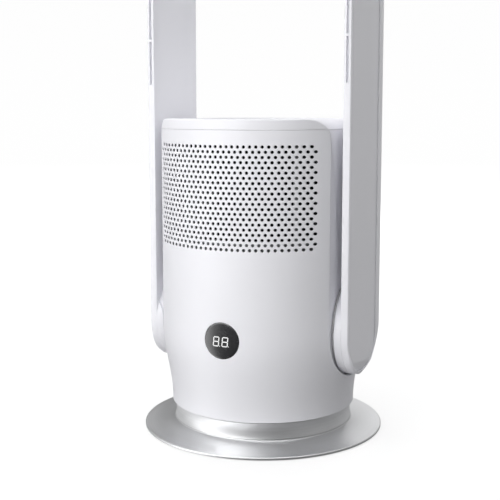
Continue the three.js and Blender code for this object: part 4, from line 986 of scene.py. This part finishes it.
def hub_mesh(name, side):
    """Round hub between body and leg, and an apron on it that carries on the leg's round end inwards.

    The apron's edge keeps to the groove below the pivot. Above, it draws back to the leg by the square
    of the angle, and is gone at APRON_RISE."""
    low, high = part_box("pivot_boss_right")
    x0, x1 = low.x, high.x + 0.0003
    turn = full_turn(240)
    rise = np.arcsin(np.maximum(np.sin(turn), 0.0)) / APRON_RISE
    edge = np.minimum(x0 + 0.0005 + (x1 - x0) * rise**2, x1)
    outer = np.where(edge < x1, LEG_D - 0.00002, BOSS_R)
    step = outer - BOSS_R
    profile = [
        (BOSS_BORE, x0),
        (BOSS_R - 0.0010, x0),
        (BOSS_R - 0.0003, x0 + 0.0001),
        (BOSS_R, x0 + 0.0004),
        (BOSS_R, edge),
        (BOSS_R + step * 0.7, edge),
        (BOSS_R + step * 0.93, np.minimum(edge + 0.0002, x1)),
        (outer, np.minimum(edge + 0.0007, x1)),
        (outer, x1),
        (BOSS_BORE, x1),
    ]
    points = [places(side * x, r * np.cos(turn), PIVOT_Z + r * np.sin(turn)) for r, x in profile]
    return Surface().grid(np.stack(points), wrap_rows=True, wrap_columns=True).mesh(name)


def friction_ring_mesh(name, side):
    """Ring of soft plastic that fills the groove between cheek and hub nearly to its brim."""
    low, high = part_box("pivot_friction_ring_right")
    outer = BOSS_R - 0.0004
    corners = [(outer - 0.008, low.x), (outer, low.x), (outer, high.x), (outer - 0.008, high.x)]
    return turned(rounded(corners, 0.0004, 3), 192, "x", PIVOT_Z, side).mesh(name)


# ---------- the foot ----------


def foot_mesh(name):
    """Spun foot: a thin rim, a disc that rises as a power of the way in, and a fillet at the collar."""
    rim, collar, low = FOOT_BOTTOM + RIM_HEIGHT, NECK_R + 0.0003, FOOT_BOTTOM
    t = np.linspace(0, 1, 26)
    out = FOOT_R - RIM_ROUND - (FOOT_R - RIM_ROUND - collar - FILLET) * t
    disc = np.stack([out, rim + (COLLAR_Z - FILLET - rim) * t**1.7], 1)
    bend = np.linspace(0.25, np.pi / 2, 6)
    fillet = np.stack([collar + FILLET * (1 - np.sin(bend)), COLLAR_Z - FILLET * np.cos(bend)], 1)
    edge = [(FOOT_R - 0.0002, low), (FOOT_R, low + 0.0003), (FOOT_R, rim - 0.0009)]
    edge += [(FOOT_R - 0.0001, rim - 0.0005), (FOOT_R - 0.0004, rim - 0.00015)]
    under = [(collar - 0.0018, COLLAR_Z), (collar - 0.0018, COLLAR_Z - 0.0018), (collar + 0.003, 0.0047)]
    under += [(UNDER_R, 0.0029), (UNDER_R, low)]
    return turned(np.concatenate([edge, disc, fillet, under]), 288).mesh(name, sharp=40)


def neck_mesh(name):
    """Waisted band: a shallow curve between two small lips, with the mains socket's slot left open."""
    base, high = COLLAR_Z + 0.0003, NECK_HIGH.z
    t = np.linspace(0, 1, 17)
    level = base + (high - base) * t
    inlet_low, inlet_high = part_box("power_inlet")
    slot = np.array([inlet_low.z - 0.0003, inlet_high.z + 0.0003])
    z = np.unique(np.concatenate([level, slot]))
    radius = np.interp(z, level, NECK_R - WAIST * np.sin(np.pi * np.clip(t * 1.02, 0, 1)) ** 0.8)
    half = math.asin((INLET_HALF + 0.0003) / NECK_R)
    sides = np.pi / 2 + np.array([-half, half])
    turn = np.unique(np.concatenate([full_turn(288), sides]))

    def layer(r):
        return places(np.cos(turn)[:, None] * r, np.sin(turn)[:, None] * r, z)

    outer, inner = layer(radius[None, :]), layer(np.full((1, len(z)), NECK_R - WAIST - 0.0026))
    ahead = np.roll(turn, -1)
    middle = (turn + np.where(ahead < turn, ahead + 2 * np.pi, ahead)) / 2
    middle_z = (z[1:] + z[:-1]) / 2
    open_turn, open_z = np.abs(middle - np.pi / 2) < half, (middle_z > slot[0]) & (middle_z < slot[1])
    keep = ~(open_turn[:, None] & open_z[None, :])
    made = Surface().grid(outer, keep, wrap_rows=True).grid(inner, keep, wrap_rows=True)
    for end in (0, -1):
        made.grid(np.stack([outer[:, end], inner[:, end]], 1), wrap_rows=True)
    a, b = (np.argmin(np.abs(turn - place)) for place in sides)
    c, d = (np.argmin(np.abs(z - place)) for place in slot)
    for k in (c, d):
        made.grid(np.stack([outer[a : b + 1, k], inner[a : b + 1, k]], 1))
    for k in (a, b):
        made.grid(np.stack([outer[k, c : d + 1], inner[k, c : d + 1]], 1))
    return made.mesh(name)


# ---------- operators ----------


class FanOperator:
    """Shared words of this add-on's operators."""

    bl_options = {"REGISTER", "UNDO"}

    def execute(self, context):
        self.build()
        return {"FINISHED"}


class FAN_OT_foot(FanOperator, bpy.types.Operator):
    """Builds the spun foot and the neck"""

    bl_idname = "fan.foot"
    bl_label = "Foot and neck"

    def build(self):
        neck_metal = spun_metal("neck_metal_finish", NECK_RINGS)
        piece(foot_mesh("spun_foot"), "base", "spun_aluminium", spun_metal(), "base_disc")
        piece(neck_mesh("neck_band"), "base", "spun_aluminium", neck_metal, "neck_ring")


class FAN_OT_body(FanOperator, bpy.types.Operator):
    """Builds the two halves of the body with their holes, and the cheeks"""

    bl_idname = "fan.body"
    bl_label = "Body"

    def build(self):
        white_piece(half_shell("body_front", True), "tower", "front_shell")
        white_piece(turned_about(half_shell("body_rear", False)), "tower", "rear_shell")
        for word, side in SIDES:
            white_piece(cheek(f"cheek_{word}", side), "tower", f"side_panel_{word}")


class FAN_OT_lid(FanOperator, bpy.types.Operator):
    """Builds the lid"""

    bl_idname = "fan.lid"
    bl_label = "Lid"

    def build(self):
        white_piece(lid_mesh("body_lid"), "lid", "top_lid")


class FAN_OT_display(FanOperator, bpy.types.Operator):
    """Builds the display window and its digits"""

    bl_idname = "fan.display"
    bl_label = "Display"

    def build(self):
        piece(lens_mesh("display_glass"), "tower", "display_window", display_glass(), "display_lens")
        piece(digits_mesh("display_digits"), "tower", "display_window", lit_digits())


class FAN_OT_hoop(FanOperator, bpy.types.Operator):
    """Builds the hoop, its skins and its hubs"""

    bl_idname = "fan.hoop"
    bl_label = "Hoop"

    def build(self):
        white_piece(hoop_frame_mesh("hoop_frame"), "hoop", "duct_frame", "front_trim")
        white_piece(arch_skin_mesh("hoop_skin_arch"), "hoop", "arch_panel")
        for word, side in SIDES:
            white_piece(leg_skin_mesh(f"hoop_skin_{word}", side), "hoop", f"leg_panel_{word}")
            white_piece(hub_mesh(f"hub_{word}", side), "hoop", f"pivot_boss_{word}")
            ring = friction_ring_mesh(f"hub_ring_{word}", side)
            piece(ring, "tower", "black_rubber", groove_grey(), f"pivot_friction_ring_{word}")


class FAN_OT_inside(FanOperator, bpy.types.Operator):
    """Gives the parts of the frame that stay their materials"""

    bl_idname = "fan.inside"
    bl_label = "Inner parts"

    def build(self):
        by_slot = {
            "white_plastic": white_plastic(),
            "spun_aluminium": spun_metal(),
            "black_rubber": dark_rubber(),
            "grey_plastic": inner_plastic("grey_inner_plastic", (0.24, 0.25, 0.26), 0.5),
            "black_plastic": inner_plastic("black_inner_plastic", (0.02, 0.02, 0.022), 0.45),
            "ballast_iron": machined("ballast_cast_iron", (0.16, 0.165, 0.17), 0.55, 160.0),
            "steel": machined("bright_steel", (0.56, 0.57, 0.58), 0.32),
            "acetal": inner_plastic("natural_acetal", (0.78, 0.76, 0.70), 0.4),
            "circuit_board": board_green(),
            "display_window": display_glass(),
            # the filter paper gets painted shade: near-black felt for the dark inside behind the intake
            # holes
            "filter_paper": painted_shade_filter(),
        }
        for row in frame["record"]["subparts"]:
            made = frame["nodes"][row["node"]]
            made.data.materials.clear()
            made.data.materials.append(by_slot[row["material_slot"]])


def soft_box(name, around, up, away, size, power, seen=("diffuse", "glossy")):
    """A studio light that faces the fan and that the camera doesn't see.

    around is its angle from the front towards the right and up its angle above level, in degrees, away
    its distance from the body's middle, and seen the kinds of light path that meet it."""
    light = bpy.data.lights.new(name, "AREA")
    light.shape, light.size, light.size_y, light.energy = "RECTANGLE", *size, power
    made = bpy.data.objects.new(name, light)
    a, e = math.radians(around), math.radians(up)
    made.location = (
        away * math.sin(a) * math.cos(e),
        -away * math.cos(a) * math.cos(e),
        BODY_MIDDLE_Z + away * math.sin(e),
    )
    made.rotation_euler = (math.pi / 2 - e, 0.0, a)
    made.visible_camera = False
    made.visible_diffuse, made.visible_glossy = "diffuse" in seen, "glossy" in seen
    bpy.context.scene.collection.objects.link(made)


def backdrop_mesh(name):
    """Studio bowl: a level floor that turns up by a quarter circle into a round wall with a domed top."""
    level = np.stack([np.linspace(0.0, BOWL_FLOOR, 26), np.zeros(26)], 1)
    a = np.linspace(0, np.pi / 2, 13)[1:]
    bend = np.stack([BOWL_FLOOR + BOWL_BEND * np.sin(a), BOWL_BEND - BOWL_BEND * np.cos(a)], 1)
    dome = np.stack([(BOWL_FLOOR + BOWL_BEND) * np.cos(a), BOWL_DOME + BOWL_DOME * np.sin(a)], 1)
    radius, height = np.concatenate([level, bend, dome]).T
    turn = full_turn(96)[:, None]
    points = places(radius * np.cos(turn), radius * np.sin(turn), height)
    return Surface().grid(points, wrap_rows=True).mesh(name)


@kept("studio_white_paint")
def studio_paint(name):
    """White studio paint, rolled on, that glows a little so that it stays white all the way back."""
    made = Finish(name, bpy.context.scene.fan_colours.floor, 0.7, Specular_IOR_Level=0.0)
    made.tinted(made.noise(0.8, 3.0).spread(0.3, 0.7), 0.005)
    x, y = made.axis("X"), made.axis("Y")
    away = (x * x + y * y).root()
    made.set("Emission Color", made.mixed(away.spread(0.1, 1.6), (0.66,) * 3, (0.90,) * 3))
    made.set("Emission Strength", 1.0)
    return made


class FAN_OT_studio(FanOperator, bpy.types.Operator):
    """Builds the white studio, its lights and the camera"""

    bl_idname = "fan.studio"
    bl_label = "Studio"

    def build(self):
        scene = bpy.context.scene
        made = bpy.data.objects.new("studio_backdrop", backdrop_mesh("studio_backdrop"))
        made.data.materials.append(studio_paint())
        made.visible_diffuse = made.visible_glossy = made.visible_shadow = False
        scene.collection.objects.link(made)

        world = bpy.data.worlds.new("studio_air")
        world.use_nodes = True
        air = world.node_tree.nodes["Background"].inputs
        air["Color"].default_value, air["Strength"].default_value = (1.0, 1.0, 1.0, 1.0), AIR_LIGHT
        scene.world = world

        soft_box("key_front", -12, 12, 1.1, (0.6, 0.7), 4.9)
        soft_box("key_left", -38, 10, 1.1, (0.6, 1.0), 4.7)
        soft_box("card_low_left", -52, -32, 1.4, (0.8, 0.9), 5.5, ("glossy",))
        soft_box("fill_right", 36, 8, 1.1, (0.6, 0.6), 2.0, ("diffuse",))
        soft_box("top_soft", 0, 90, 4.5, (3.4, 3.4), 150)
        soft_box("floor_glow", 0, -90, 1.85, (2.4, 2.4), 14, ("diffuse",))
        soft_box("side_right", 120, 18, 2.2, (1.2, 1.2), 3.0, ("diffuse",))
        soft_box("rim_right", 150, 18, 2.2, (1.2, 1.2), 7.5, ("diffuse",))
        soft_box("rim_left", -120, 18, 2.2, (1.2, 1.2), 12, ("diffuse",))
        soft_box("rim_back", 180, 18, 2.2, (1.2, 1.2), 20, ("diffuse",))
        soft_box("card_right", 95, 8, 2.4, (3.4, 3.0), 6.0, ("glossy",))
        soft_box("card_far_right", 152, 8, 2.4, (1.8, 3.0), 7.0, ("glossy",))
        soft_box("card_back", 190, 6, 2.4, (1.0, 3.6), 9.0, ("glossy",))
        soft_box("card_left", -95, 8, 2.4, (2.2, 3.0), 4.5, ("glossy",))

        scene.view_settings.view_transform = "Standard"
        lens = bpy.data.cameras.new("photo_camera")
        lens.lens, lens.sensor_width = CAMERA_LENS, 36.0
        lens.shift_y = scene.fan_sizes.camera_shift
        lens.clip_start, lens.clip_end = 0.05, 50.0
        camera = bpy.data.objects.new("photo_camera", lens)
        camera.location = CAMERA_PLACE
        camera.rotation_euler = (math.radians(90.0 - CAMERA_DOWN), 0.0, math.radians(CAMERA_AROUND))
        scene.collection.objects.link(camera)
        scene.camera = camera


class FAN_PT_panel(bpy.types.Panel):
    """Sizes, colours and the building steps of the fan"""

    bl_idname = "FAN_PT_panel"
    bl_label = "Bladeless Fan"
    bl_space_type = "VIEW_3D"
    bl_region_type = "UI"
    bl_category = "Fan"

    def draw(self, context):
        for group in (context.scene.fan_sizes, context.scene.fan_colours):
            box = self.layout.box()
            for prop in group.bl_rna.properties:
                if prop.identifier not in ("rna_type", "name"):
                    box.prop(group, prop.identifier)
        for step in STEPS:
            self.layout.operator(step.bl_idname)


STEPS = (FAN_OT_foot, FAN_OT_body, FAN_OT_lid, FAN_OT_display, FAN_OT_hoop, FAN_OT_inside, FAN_OT_studio)
CLASSES = (FanSizes, FanColours, *STEPS, FAN_PT_panel)


def register():
    for cls in CLASSES:
        bpy.utils.register_class(cls)
    bpy.types.Scene.fan_sizes = bpy.props.PointerProperty(type=FanSizes)
    bpy.types.Scene.fan_colours = bpy.props.PointerProperty(type=FanColours)


def unregister():
    del bpy.types.Scene.fan_colours
    del bpy.types.Scene.fan_sizes
    for cls in reversed(CLASSES):
        bpy.utils.unregister_class(cls)


def main():
    register()
    for step in STEPS:
        group, name = step.bl_idname.split(".")
        getattr(getattr(bpy.ops, group), name)()


if __name__ == "__main__":
    main()
